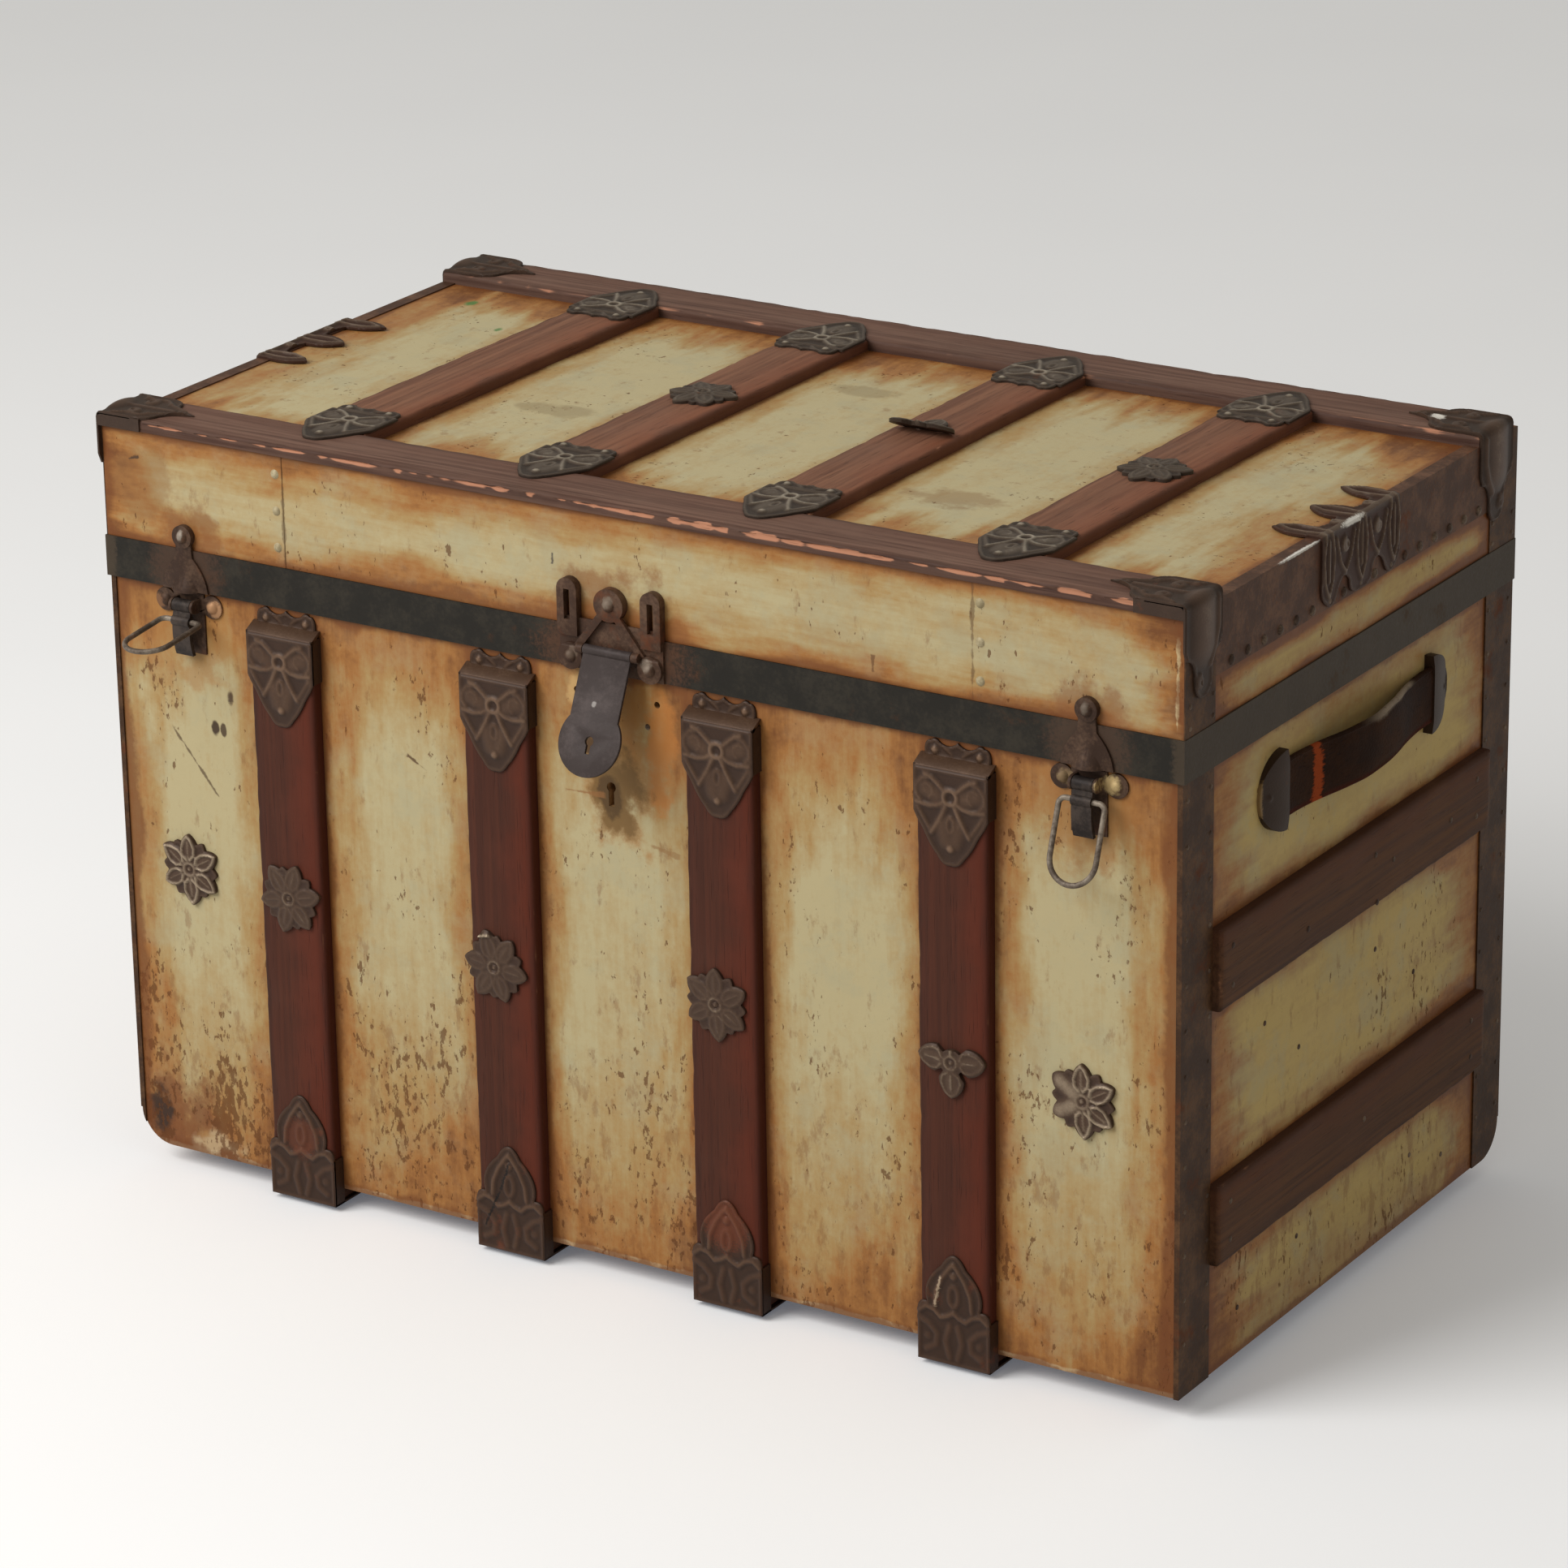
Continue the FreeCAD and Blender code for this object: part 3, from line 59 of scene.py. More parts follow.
class Socket:
    """One output among a material's nodes; arithmetic on it adds Math nodes."""

    def __init__(self, tree, output):
        self.tree = tree
        self.output = output

    def node(self, kind, settings, sockets, output=0):
        """An output of a new node, whose settings are made before its sockets are filled."""
        made = self.tree.nodes.new(kind)
        for name, value in settings.items():
            if name == "stops":
                ramp = made.color_ramp.elements
                while len(ramp) < len(value):
                    ramp.new(1.0)
                for stop, (position, colour) in zip(ramp, value):
                    stop.position = position
                    stop.color = colour
            else:
                setattr(made, name, value)
        plug(self.tree, made, sockets)
        return Socket(self.tree, made.outputs[output])

    def maths(self, operation, first, second):
        return self.node("ShaderNodeMath", {"operation": operation}, {0: first, 1: second})

    def __add__(self, other):
        return self.maths("ADD", self, other)

    def __sub__(self, other):
        return self.maths("SUBTRACT", self, other)

    def __rsub__(self, other):
        return self.maths("SUBTRACT", other, self)

    def __mul__(self, other):
        return self.maths("MULTIPLY", self, other)

    def __abs__(self):
        return self.maths("ABSOLUTE", self, 0.0)

    __radd__ = __add__
    __rmul__ = __mul__

    def rise(self, low, high):
        """0 up to the low value, 1 from the high one, and a smooth step between."""
        return self.node("ShaderNodeMapRange", {"interpolation_type": "SMOOTHSTEP"},
                         {"Value": self, "From Min": low, "From Max": high})

    def mix(self, none, full):
        """The colour none where this value is 0, and full where it is 1."""
        return self.node("ShaderNodeMix", {"data_type": "RGBA"}, {0: self, 6: none, 7: full}, 2)

    def ramp(self, *stops):
        return self.node("ShaderNodeValToRGB", {"stops": stops}, {0: self})

    def axis(self, index):
        return self.node("ShaderNodeSeparateXYZ", {}, {0: self}, index)

    def attribute(self, name):
        """A number that the mesh keeps at its corners."""
        return self.node("ShaderNodeAttribute", {"attribute_name": name}, {}, 2)

    def grain(self, per_metre, detail=3.0, rough=0.5):
        """Cloudy noise with so many clouds in a metre, the same along x, y and z or one number for each."""
        pitch = per_metre if isinstance(per_metre, tuple) else (per_metre,) * 3
        spread = self.node("ShaderNodeVectorMath", {"operation": "MULTIPLY"}, {0: self, 1: pitch})
        return self.node("ShaderNodeTexNoise", {},
                         {"Vector": spread, "Scale": 1.0, "Detail": detail, "Roughness": rough})


def tone(red, green, blue):
    """A colour as a paint chart gives it, turned into amounts of light."""
    parts = [part / 255 for part in (red, green, blue)]
    light = [part / 12.92 if part <= 0.04045 else ((part + 0.055) / 1.055) ** 2.4 for part in parts]
    return (*light, 1.0)


def new_finish(name):
    """A fresh material and the socket of its object coordinates, in metres."""
    made = bpy.data.materials.new(name)
    made.use_nodes = True
    tree = made.node_tree
    return made, Socket(tree, tree.nodes.new("ShaderNodeTexCoord").outputs["Object"])


def lay_on(finish, place, height, colour, rough, gloss, **others):
    """Fills the surface shader of a finish; height is the relief of its surface, in metres."""
    bump = place.node("ShaderNodeBump", {}, {"Strength": 1.0, "Distance": 1.0, "Height": height})
    plug(finish.node_tree, finish.node_tree.nodes["Principled BSDF"],
         {"Base Color": colour, "Roughness": rough, "Specular IOR Level": gloss, "Normal": bump, **others})


def dress(finish, *nodes):
    """Gives carried-over pieces their finish."""
    for name in nodes:
        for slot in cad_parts[name].material_slots:
            slot.material = finish


pine, place = new_finish("old_pine")
figure = place.grain((4.0, 150.0, 150.0), 6.0, 0.62)
stain = place.grain(7.0, 4.0)
colour = figure.rise(0.35, 0.7).mix(tone(170, 132, 88), tone(130, 92, 56))
colour = stain.rise(0.45, 0.8).mix(colour, tone(106, 76, 50))
lay_on(pine, place, figure * 0.0003, colour, 0.6 + figure * 0.3, 0.25)
dress(pine, *pine_boards)

# Case coverings: thin sheet tacked over the boards and painted cream, browned by age along every slat,
# corner and band. The paint is streaked upright, stained and chipped, and worst near the floor.
paint_fresh, end_fresh = tone(190, 176, 136), tone(198, 172, 109)
paint_tan = tone(176, 145, 95)
paint_brown = tone(164, 112, 60)
# The colour of the painted contact shadow along every joint.
paint_burnt = tone(118, 72, 36)
paint_joint_shadow = tone(116, 66, 31)
paint_rust = tone(128, 80, 42)
paint_speck = tone(98, 58, 27)
paint_cool = tone(172, 168, 140)
slat_middles = (-0.2615, -0.0915, 0.0785, 0.2485)
slat_half = 0.02525
case_foot, band_low = 0.014, 0.4226
under_floor, over_band = -0.1, 0.5
upright_streaks, end_streaks = (160.0, 160.0, 9.0), (160.0, 9.0, 160.0)
case_soil = (0.03, 0.30)
no_soil = (-2.0, -1.0)
front, flat, solid = (0, 2), (0, 1), (0, 1, 2)


def spans(axis, middles, half, reach, strength):
    """Pieces of one width across an axis, with how far and how much they brown the paint beside them."""
    return [(axis, middle - half, middle + half, reach, strength) for middle in middles]


def spot(place, axes, middle, reach, ragged):
    """1 in an oval across one to three axes, fading to 0 at its ragged edge."""
    off = ragged * 4.0
    for axis, centre, half in zip(axes, middle, reach):
        share = (place.axis(axis) - centre) * (1 / half)
        off = off + share * share
    return 1.0 - off.rise(0.25, 1.1)


def stroke(place, axes, start, end, ragged):
    """1 along a thin scratch between two points across two axes."""
    run = Vector(end) - Vector(start)
    u = place.axis(axes[0]) - start[0]
    v = place.axis(axes[1]) - start[1]
    along = (u * run.x + v * run.y) * (1 / run.length_squared)
    off = abs(u * run.y - v * run.x) * (1 / run.length) + ragged * 0.010
    return (1.0 - off.rise(0.0003, 0.0013)) * (1.0 - (abs(along - 0.5)).rise(0.42, 0.52))


def drawn(shape, axes, *rows):
    """Marks of one shape across some axes.

    A row is a middle and its reach or a start and an end, in millimetres, then a colour and a strength.
    """
    return [(shape, axes, [u * mm for u in first], [u * mm for u in second], tint, strength)
            for first, second, tint, strength in rows]


def add_marks(colour, place, ragged, marks):
    """A colour with marks laid over it, one after the other."""
    for shape, axes, first, second, tint, strength in marks:
        colour = (shape(place, axes, first, second, ragged) * strength).mix(colour, tone(*tint))
    return colour


def aged_paint(name, neighbours, streaks, soiled=no_soil, marks=(), fresh_paint=paint_fresh, start=0.0):
    """Old cream paint that browns towards its neighbours: axis, low, high, reach and strength of each.

    soiled gives the heights of the worst and of the least dirt, start is how brown it is all over, and
    marks are single scratches, stains and spots of painted shade.
    """
    finish, place = new_finish(name)
    blotch = place.grain(tuple(10.0 if pitch < 20 else 36.0 for pitch in streaks), 4.0, 0.55) - 0.5
    patch = place.grain(tuple(20.0 if pitch < 20 else 52.0 for pitch in streaks), 5.0, 0.72) - 0.5
    cloud = place.grain(7.0) - 0.5
    mottle = place.grain(150.0, 4.0, 0.65) - 0.5
    streak = place.grain(streaks, 4.0, 0.65) - 0.5
    fresh = 1.0
    line = 1.0
    for axis, low, high, reach, strength in neighbours:
        gap = abs(place.axis(axis) - (low + high) / 2) - (high - low) / 2
        shade = (gap + blotch * min(2.0 * reach, 0.15)).rise(0.05 * reach, reach)
        fresh = fresh * (1.0 - strength * (1.0 - shade))
        # Painted contact shadow: a thin dark line along the joint with each neighbour.
        line = line * (gap + blotch * 0.026 + mottle * 0.010).rise(0.0004, 0.0066)
    dirt = 1.0 - place.axis(2).rise(*soiled)
    left = 1.0 - place.axis(0).rise(-0.35, 0.30)
    age = 1.0 + start - fresh + patch * 0.55 + streak * 0.4 + cloud * 0.4 + mottle * 0.4 + dirt * 0.05
    colour = age.ramp((0.0, fresh_paint), (0.40, paint_tan), (0.72, paint_brown), (1.0, paint_burnt))
    cool = place.grain(24.0, 5.0, 0.7).rise(0.48, 0.66)
    colour = (cool * fresh * 0.35).mix(colour, paint_cool)
    stain = (place.grain((80.0, 80.0, 34.0), 5.0, 0.7) + dirt * 0.08).rise(0.58, 0.70)
    colour = (stain * 0.4).mix(colour, paint_rust)
    colour = add_marks(colour, place, place.grain(45.0, 5.0, 0.62) - 0.5, marks)
    cluster = place.grain((26.0, 26.0, 12.0), 4.0, 0.7) - 0.5
    speck = place.grain((260.0, 260.0, 120.0), 3.0, 0.65) + cluster * 0.8 + dirt * (0.065 + left * 0.06)
    speck = speck.rise(0.69, 0.76)
    colour = (speck * 0.75).mix(colour, paint_speck)
    colour = ((1.0 - line) * 0.75).mix(colour, paint_joint_shadow)
    wave = place.grain(30.0, 2.0)
    height = streak * 0.00008 + mottle * 0.0002 + wave * 0.0006 - speck * 0.0002
    lay_on(finish, place, height, colour, 0.5 + blotch * 0.3 + speck * 0.2, 0.25)
    return finish


case_marks = drawn(
    spot, front,
    ((-340.9, 395), (40, 45), (172, 122, 66), 0.55),
    ((340.9, 395), (40, 45), (164, 112, 60), 0.6),
    ((0, 365), (40, 66), (168, 116, 58), 0.65),
    ((30, 375), (14, 50), (196, 126, 62), 0.6),
    # These two spots below the hasp's tongue are its painted shadow, laid over the real ghost of the old lock
    # plate.
    ((-4, 342), (24, 32), (102, 75, 36), 0.75),
    ((-9, 338), (10, 14), (66, 46, 24), 0.7),
    # Painted shade on the wall behind the hasp's tongue, so that its keyhole shows dark.
    ((-26, 370), (11, 13), (60, 43, 27), 0.85),
    ((-33.5, 406), (10, 10), (206, 168, 112), 0.85),
)
case_marks += drawn(
    stroke, front,
    ((-361.7, 323.8), (-320.7, 273.6), (88, 68, 48), 0.8),
    ((-169.3, 337.3), (-153.5, 328.9), (92, 66, 44), 0.9),
    ((-45, 336.5), (-13, 337.5), (146, 100, 58), 0.7),
    ((20, 310), (43, 306), (150, 112, 70), 0.6),
    ((156, 376), (173, 370), (130, 90, 54), 0.7),
)
case_marks += drawn(
    spot, front,
    ((-311.5, 351), (3, 5.6), (66, 44, 30), 0.9),
    ((-325, 327.6), (3.2, 5.6), (58, 40, 28), 0.95),
    ((-318.5, 328), (2.4, 5), (66, 46, 32), 0.9),
    ((-370, 38), (34, 36), (120, 70, 38), 0.75),
    ((-342, 22), (24, 12), (196, 170, 132), 0.8),
    ((-396, 40), (19, 20), (54, 36, 26), 0.95),
)
case_marks += drawn(spot, (2,), ((14.5,), (3.2,), (204, 184, 148), 0.55))
long_wall = spans(0, slat_middles, slat_half, 0.034, 0.56) + spans(0, (-0.4005, 0.4005), 0.0035, 0.036, 0.6)
long_wall += [(2, under_floor, case_foot, 0.20, 0.46), (2, under_floor, case_foot, 0.06, 0.42)]
long_wall += [(2, band_low, over_band, 0.11, 0.68)]
end_wall = spans(1, (-0.205, 0.205), 0.019, 0.062, 0.75) + spans(2, (0.118, 0.289), 0.027, 0.022, 0.55)
end_wall += [(2, under_floor, case_foot, 0.04, 0.30), (2, band_low, over_band, 0.05, 0.40)]
dress(aged_paint("case_paint_long", long_wall, upright_streaks, case_soil, case_marks), "front_cover")
dress(aged_paint("case_paint_back", long_wall, upright_streaks, case_soil), "back_cover")
dress(aged_paint("case_paint_end", end_wall, end_streaks, case_soil, (), end_fresh, 0.05), "end_covers")

# Case slats: sawn hardwood battens stained red-brown, nailed up the front and the back, across the ends
# and under the bottom. The stain is redder along one side, and the corners are knocked.
slat_round = 2.5 * mm
sharp_angle = math.radians(35)
front_face, slat_face = -0.224, -0.233
slat_top, runner_low = 0.405, 0.005
case_end, end_slat_face, end_slat_reach = 0.404, 0.412, 0.186
end_slat_heights = ((0.262, 0.316), (0.091, 0.145))


def worn_wood(name, along, dark, light, red, bare, dust):
    """Stained wood with its grain along one axis.

    The attribute across runs from -1 to 1 over a batten's width, and wear is high where it is rubbed bare.
    """
    finish, place = new_finish(name)
    figure = place.grain(tuple(7.0 if axis == along else 260.0 for axis in range(3)), 5.0, 0.6)
    pores = place.grain(tuple(40.0 if axis == along else 900.0 for axis in range(3)), 2.0)
    cloud = place.grain(18.0, 4.0, 0.6)
    across = place.attribute("across")
    colour = figure.rise(0.3, 0.7).mix(tone(*dark), tone(*light))
    colour = ((across + (cloud - 0.5) * 2.4).rise(-0.3, 1.1) * 0.75).mix(colour, tone(*red))
    colour = (cloud.rise(0.45, 0.75) * dust).mix(colour, tone(128, 104, 90))
    # Painted shade: each batten's edges and side faces are darkened where they turn from the light.
    border = (abs(across) + (cloud - 0.5) * 0.5).rise(0.74, 1.02)
    colour = (border * 0.45).mix(colour, tone(38, 22, 17))
    worn = (place.attribute("wear") + (figure - 0.5) * 0.9 + (cloud - 0.5) * 0.4).rise(0.45, 0.70)
    colour = (worn * 0.85).mix(colour, tone(*bare))
    colour = (pores.rise(0.62, 0.74) * 0.3).mix(colour, tone(36, 20, 16))
    height = figure * 0.00014 - pores.rise(0.6, 0.75) * 0.0002
    lay_on(finish, place, height, colour, 0.5 + figure * 0.25 + worn * 0.15, 0.16)
    return finish


def add_block(mesh_data, low, high):
    """Adds a block between two corners to a mesh and gives its points."""
    low, high = Vector(low), Vector(high)
    turn = Matrix.Translation((low + high) / 2) @ Matrix.Diagonal((high - low).to_4d())
    return bmesh.ops.create_cube(mesh_data, size=1.0, matrix=turn)["verts"]


def round_off(mesh_data, edges, radius, segments, clamp=False):
    """Rounds edges of a mesh and gives the points of the new faces; clamp keeps them from overlapping."""
    return bmesh.ops.bevel(mesh_data, geom=edges, offset=radius, segments=segments, profile=0.5,
                           affect="EDGES", material=-1, clamp_overlap=clamp)["verts"]


def cut_across(mesh_data, faces, axis, place):
    """Divides faces of a mesh at a place across an axis and gives the new points."""
    point, normal = Vector(), Vector()
    point[axis], normal[axis] = place, 1.0
    edges = {edge for face in faces for edge in face.edges}
    verts = {vert for face in faces for vert in face.verts}
    cut = bmesh.ops.bisect_plane(mesh_data, geom=[*verts, *edges, *faces], plane_co=point, plane_no=normal)
    return {item for item in cut["geom_cut"] if isinstance(item, bmesh.types.BMVert)}


def add_batten(wood, low, high, along, outside, chips):
    """Adds a batten between two corners to a mesh; outside is the axis and side of its face."""
    wear, side_to_side = wood.verts.layers.float["wear"], wood.verts.layers.float["across"]
    low, high = Vector(low), Vector(high)
    face_axis, face_side = outside
    made = add_block(wood, low, high)
    face = high[face_axis] if face_side > 0 else low[face_axis]
    rim = [edge for edge in {edge for vert in made for edge in vert.link_edges}
           if all(abs(vert.co[face_axis] - face) < mm / 10 for vert in edge.verts)]
    verts = set(round_off(wood, rim, slat_round, 3))
    verts |= {other for vert in verts for edge in vert.link_edges for other in edge.verts}
    across = next(axis for axis in range(3) if axis not in (along, face_axis))
    for axis, step in ((along, 6 * mm), (across, 9 * mm), (face_axis, 2 * mm)):
        cuts = int((high[axis] - low[axis]) / step)
        for index in range(1, cuts):
            faces = {face for vert in verts for face in vert.link_faces}
            verts |= cut_across(wood, faces, axis, low[axis] + index * (high[axis] - low[axis]) / cuts)
    middle, half = (low[across] + high[across]) / 2, (high[across] - low[across]) / 2
    for vert in verts:
        depth = abs(vert.co[face_axis] - face)
        off = vert.co[across] - middle
        tip = min(vert.co[along] - low[along], high[along] - vert.co[along])
        near = max(0.0, 1 - min(half - abs(off), tip * 0.7) / (5 * mm)) * max(0.0, 1 - depth / (6 * mm))
        chip = 0.5 + 0.5 * noise.fractal(vert.co * 55, 0.6, 2.0, 4)
        bite = near * max(0.0, chip - 0.35) * chips
        vert[side_to_side] = off / half
        vert[wear] = min(1.0, near * (0.1 + 1.1 * chip)) * chips
        vert.co[face_axis] -= face_side * (bite * 2.2 * mm + 0.25 * mm * noise.noise(vert.co * 25))
        vert.co[across] += bite * 1.2 * mm * (1 if off < 0 else -1)


def finish_piece(name, mesh_data, finish, body, nodes):
    """Makes an object of a mesh, which rides on a body and stands for the nodes."""
    bmesh.ops.recalc_face_normals(mesh_data, faces=mesh_data.faces)
    mesh = bpy.data.meshes.new(name)
    mesh_data.to_mesh(mesh)
    mesh_data.free()
    mesh.shade_smooth()
    mesh.set_sharp_from_angle(angle=sharp_angle)
    mesh.materials.append(finish)
    made = bpy.data.objects.new(name, mesh)
    bpy.context.scene.collection.objects.link(made)
    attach(made, body)
    if nodes:
        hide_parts(*nodes)


def new_battens(corners, along, outside, chips):
    """A mesh of worn battens between pairs of corners."""
    wood = bmesh.new()
    wood.verts.layers.float.new("wear")
    wood.verts.layers.float.new("across")
    for low, high in corners:
        add_batten(wood, low, high, along, outside, chips)
    return wood


bare_wood = (150, 104, 76)
upright_wood = worn_wood("case_slat_upright", 2, (68, 37, 27), (82, 45, 33), (98, 41, 25), bare_wood, 0.04)
end_wood = worn_wood("case_slat_end", 1, (72, 46, 31), (100, 68, 46), (90, 52, 33), bare_wood, 0.08)
front_slats, back_slats, runners, right_slats, left_slats = [], [], [], [], []
for x in slat_middles:
    left, right = x - slat_half, x + slat_half
    front_slats.append(((left, slat_face, case_foot), (right, front_face, slat_top)))
    back_slats.append(((left, -front_face, case_foot), (right, -slat_face, slat_top)))
    runners.append(((left, slat_face, runner_low), (right, -slat_face, case_foot)))
for low, high in end_slat_heights:
    right_slats.append(((case_end, -end_slat_reach, low), (end_slat_face, end_slat_reach, high)))
    left_slats.append(((-end_slat_face, -end_slat_reach, low), (-case_end, end_slat_reach, high)))
for node, corners, along, outside, wood in (
        ("front_slats", front_slats, 2, (1, -1), upright_wood),
        ("back_slats", back_slats, 2, (1, 1), upright_wood),
        ("right_end_slats", right_slats, 1, (0, 1), end_wood),
        ("left_end_slats", left_slats, 1, (0, -1), end_wood),
        ("bottom_runners", runners, 1, (2, -1), end_wood)):
    battens = new_battens(corners, along, outside, 0.6)
    finish_piece(node + "_worn", battens, wood, "base", [node])

# Corner bindings: strips of thin sheet folded round the upright corners and the lid's end edges.
# They are painted dark brown, scuffed to the metal, and nailed along both borders.
binding_face, slat_end = 0.4052, 0.4065
edge_row = 0.4848
to_front, upwards = (0, -1, 0), (0, 0, 1)


def scuffed_metal(name, dark, light, rust, shine, rust_share, marks=()):
    """Dark sheet metal, rubbed lighter in patches and streaked with rust; marks are as on the paint."""
    finish, place = new_finish(name)
    patch = place.grain(45.0, 5.0, 0.65)
    fine = place.grain(420.0, 3.0, 0.6)
    rubbed = (patch * 0.7 + fine * 0.3).rise(0.42, 0.66)
    colour = rubbed.mix(tone(*dark), tone(*light))
    rusty = place.grain(28.0, 5.0, 0.7).rise(0.62 - rust_share * 0.4, 0.78 - rust_share * 0.4)
    colour = (rusty * 0.8).mix(colour, tone(*rust))
    colour = add_marks(colour, place, (fine - 0.5) * 0.4, marks)
    height = fine * 0.0001 + patch * 0.0003
    lay_on(finish, place, height, colour, 0.42 + fine * 0.25 + rusty * 0.2, 0.2,
           Metallic=shine - rusty * (shine * 0.8))
    return finish


corner_binding = scuffed_metal("corner_binding", (60, 39, 24), (96, 67, 43), (100, 54, 29), 0.06, 0.15)
# A painted highlight on the lid binding's worn front edge, white where it catches the light.
binding_edge_highlight = drawn(spot, solid, ((406.5, -80, 527.9), (2.4, 30, 1.8), (232, 228, 220), 0.9))
lid_binding = scuffed_metal("lid_binding", (76, 51, 38), (114, 81, 61), (112, 62, 38), 0.1, 0.1, binding_edge_highlight)
dress(corner_binding, "corner_bindings", "lid_corner_bindings")
dress(lid_binding, "lid_end_bindings")


def stand(origin, up, out):
    """The turn that stands a flat pattern at a point, its v upwards and its top outwards."""
    up, out = Vector(up), Vector(out)
    turn = Matrix((up.cross(out), up, out)).transposed().to_4x4()
    return Matrix.Translation(origin) @ turn


def add_nails(heads, places, out, radius, height):
    """Adds low round nail heads that face outwards; their radius and height are in millimetres."""
    swell = Matrix.Diagonal((radius * mm, radius * mm, height * mm, 1))
    for point in places:
        bmesh.ops.create_uvsphere(heads, u_segments=10, v_segments=6, radius=1.0,
                                  matrix=stand(point, upwards, out) @ swell)


def steps(low, high, pitch):
    """Even places from a low to a high value, about a pitch apart."""
    count = max(2, round((high - low) / pitch) + 1)
    return [low + (high - low) * index / (count - 1) for index in range(count)]


stray_nails = (
    (0.0929, 0.1899), (-0.0677, 0.195), (-0.1143, 0.2278), (0.0928, 0.0594), (-0.0671, 0.0638),
    (-0.1467, 0.0459), (0.0370, 0.2250), (0.1400, 0.0420),
)
slat_nails = [(y, z) for y in (-0.172, 0.165) for z in (0.276, 0.302, 0.105, 0.131)]
slat_nails += [(0.0193, 0.2973), (0.0447, 0.286), (0.0228, 0.2638), (-0.0723, 0.2782), (0.1273, 0.2857)]
slat_nails += [(0.01, 0.118)]
binding_rows = (-0.219, -0.190, 0.190, 0.219)
upright_nails = [(y, z) for y in binding_rows for z in steps(0.05, 0.41, 0.03)]
lid_upright_nails = [(y, z) for y in binding_rows for z in steps(0.456, 0.47, 0.014)]
edge_nails = [(y, edge_row) for y in steps(-0.168, 0.168, 0.0205)]
base_nails, lid_nails = bmesh.new(), bmesh.new()
for heads, face, places, radius, height in (
        (base_nails, binding_face, upright_nails, 1.7, 0.7),
        (lid_nails, slat_end, lid_upright_nails, 1.7, 0.7),
        (lid_nails, slat_end, edge_nails, 3.4, 1.8),
        (base_nails, case_end, stray_nails, 1.9, 0.8),
        (base_nails, end_slat_face, slat_nails, 2.1, 0.8)):
    for side in (-1, 1):
        add_nails(heads, [(side * face, y, z) for y, z in places], (side, 0, 0), radius, height)
add_nails(base_nails, [(0.0200, front_face, 0.390)], to_front, 2.0, 0.9)
nail_iron = scuffed_metal("nail_iron", (62, 45, 35), (126, 107, 90), (104, 62, 38), 0.25, 0.1)
finish_piece("base_nails", base_nails, nail_iron, "base", [])
finish_piece("lid_nails", lid_nails, nail_iron, "lid", [])

# Stamped clasps: sheet iron pressed in a die with scrolls and a butterfly, nailed over the ends of the
# front slats and folded back to the wall. Everything that stands up is worn through the bronze lacquer and
# painted with a highlight.
sheet = 1.3 * mm
clasp_width = 53.1 * mm
clasp_face = slat_face - sheet
tongue_length, tab_length, foot_height = 62 * mm, 11 * mm, 76.3 * mm
fold_rise = 4.5 * mm
side_low = 0.3759
foot_low, foot_shoulder, foot_wrap = 0.0037, 0.44, 30 * mm
tongue_outline = (
    (0.0, 0.0), (0.10, 0.015, 0.18, 0.09), (0.28, 0.20, 0.37, 0.34), (0.46, 0.46), (0.50, 0.53), (0.50, 1.00),
    (0.0, 1.00),
)
tab_outline = (
    (0.0, 0.0), (0.44, 0.0), (0.43, 0.70, 0.36, 0.92), (0.30, 1.04, 0.24, 0.86), (0.12, 0.70, 0.0, 1.00),
)
foot_outline = (
    (0.0, 0.0), (0.50, 0.0), (0.50, foot_shoulder), (0.47, 0.52, 0.37, 0.54), (0.36, 0.72, 0.17, 0.89),
    (0.09, 0.97, 0.0, 1.00),
)


def pressed_iron(name, low, middle, high, rust_share, marks=()):
    """Lacquered iron, lighter where the attribute relief is high, as rubbed lacquer and painted highlight,
    and grimy where hollow is high.
    """
    finish, place = new_finish(name)
    relief, hollow = place.attribute("relief"), place.attribute("hollow")
    patch = place.grain(60.0, 4.0, 0.6)
    fine = place.grain(700.0, 2.0, 0.6)
    # Raised parts are lighter: partly rubbed lacquer, partly a painted highlight where they catch the light.
    level = relief + (patch - 0.5) * 0.5 + (fine - 0.5) * 0.25
    colour = level.ramp((0.0, tone(*low)), (0.5, tone(*middle)), (1.0, tone(*high)))
    rusty = place.grain(36.0, 5.0, 0.7).rise(0.64 - rust_share * 0.4, 0.80 - rust_share * 0.4)
    colour = (rusty * (0.8 - 0.5 * relief)).mix(colour, tone(108, 58, 36))
    colour = (hollow * 0.6).mix(colour, tone(30, 20, 15))
    colour = add_marks(colour, place, (fine - 0.5) * 0.4, marks)
    lay_on(finish, place, fine * 0.00012, colour, 0.52 - 0.12 * relief + rusty * 0.15, 0.25,
           Metallic=0.12 + 0.14 * relief - rusty * 0.1)
    return finish


def half_outline(shares, width, height, foot=0.0):
    """Points round a sheet from the right half of its outline, given as shares of its width and height.

    A step of two shares is a straight line, and a step of four is a bow through its first point.
    """
    right = [shares[0]]
    for step in shares[1:]:
        if len(step) == 2:
            right.append(step)
            continue
        start, middle, end = Vector(right[-1]), Vector(step[:2]), Vector(step[2:])
        bow = 2 * middle - (start + end) / 2
        for t in (0.125, 0.25, 0.375, 0.5, 0.625, 0.75, 0.875, 1.0):
            right.append(tuple(start * (1 - t) ** 2 + bow * 2 * t * (1 - t) + end * t * t))
    left = [(-u, v) for u, v in reversed(right) if u > 0]
    return [(u * width, foot + v * height) for u, v in right + left]


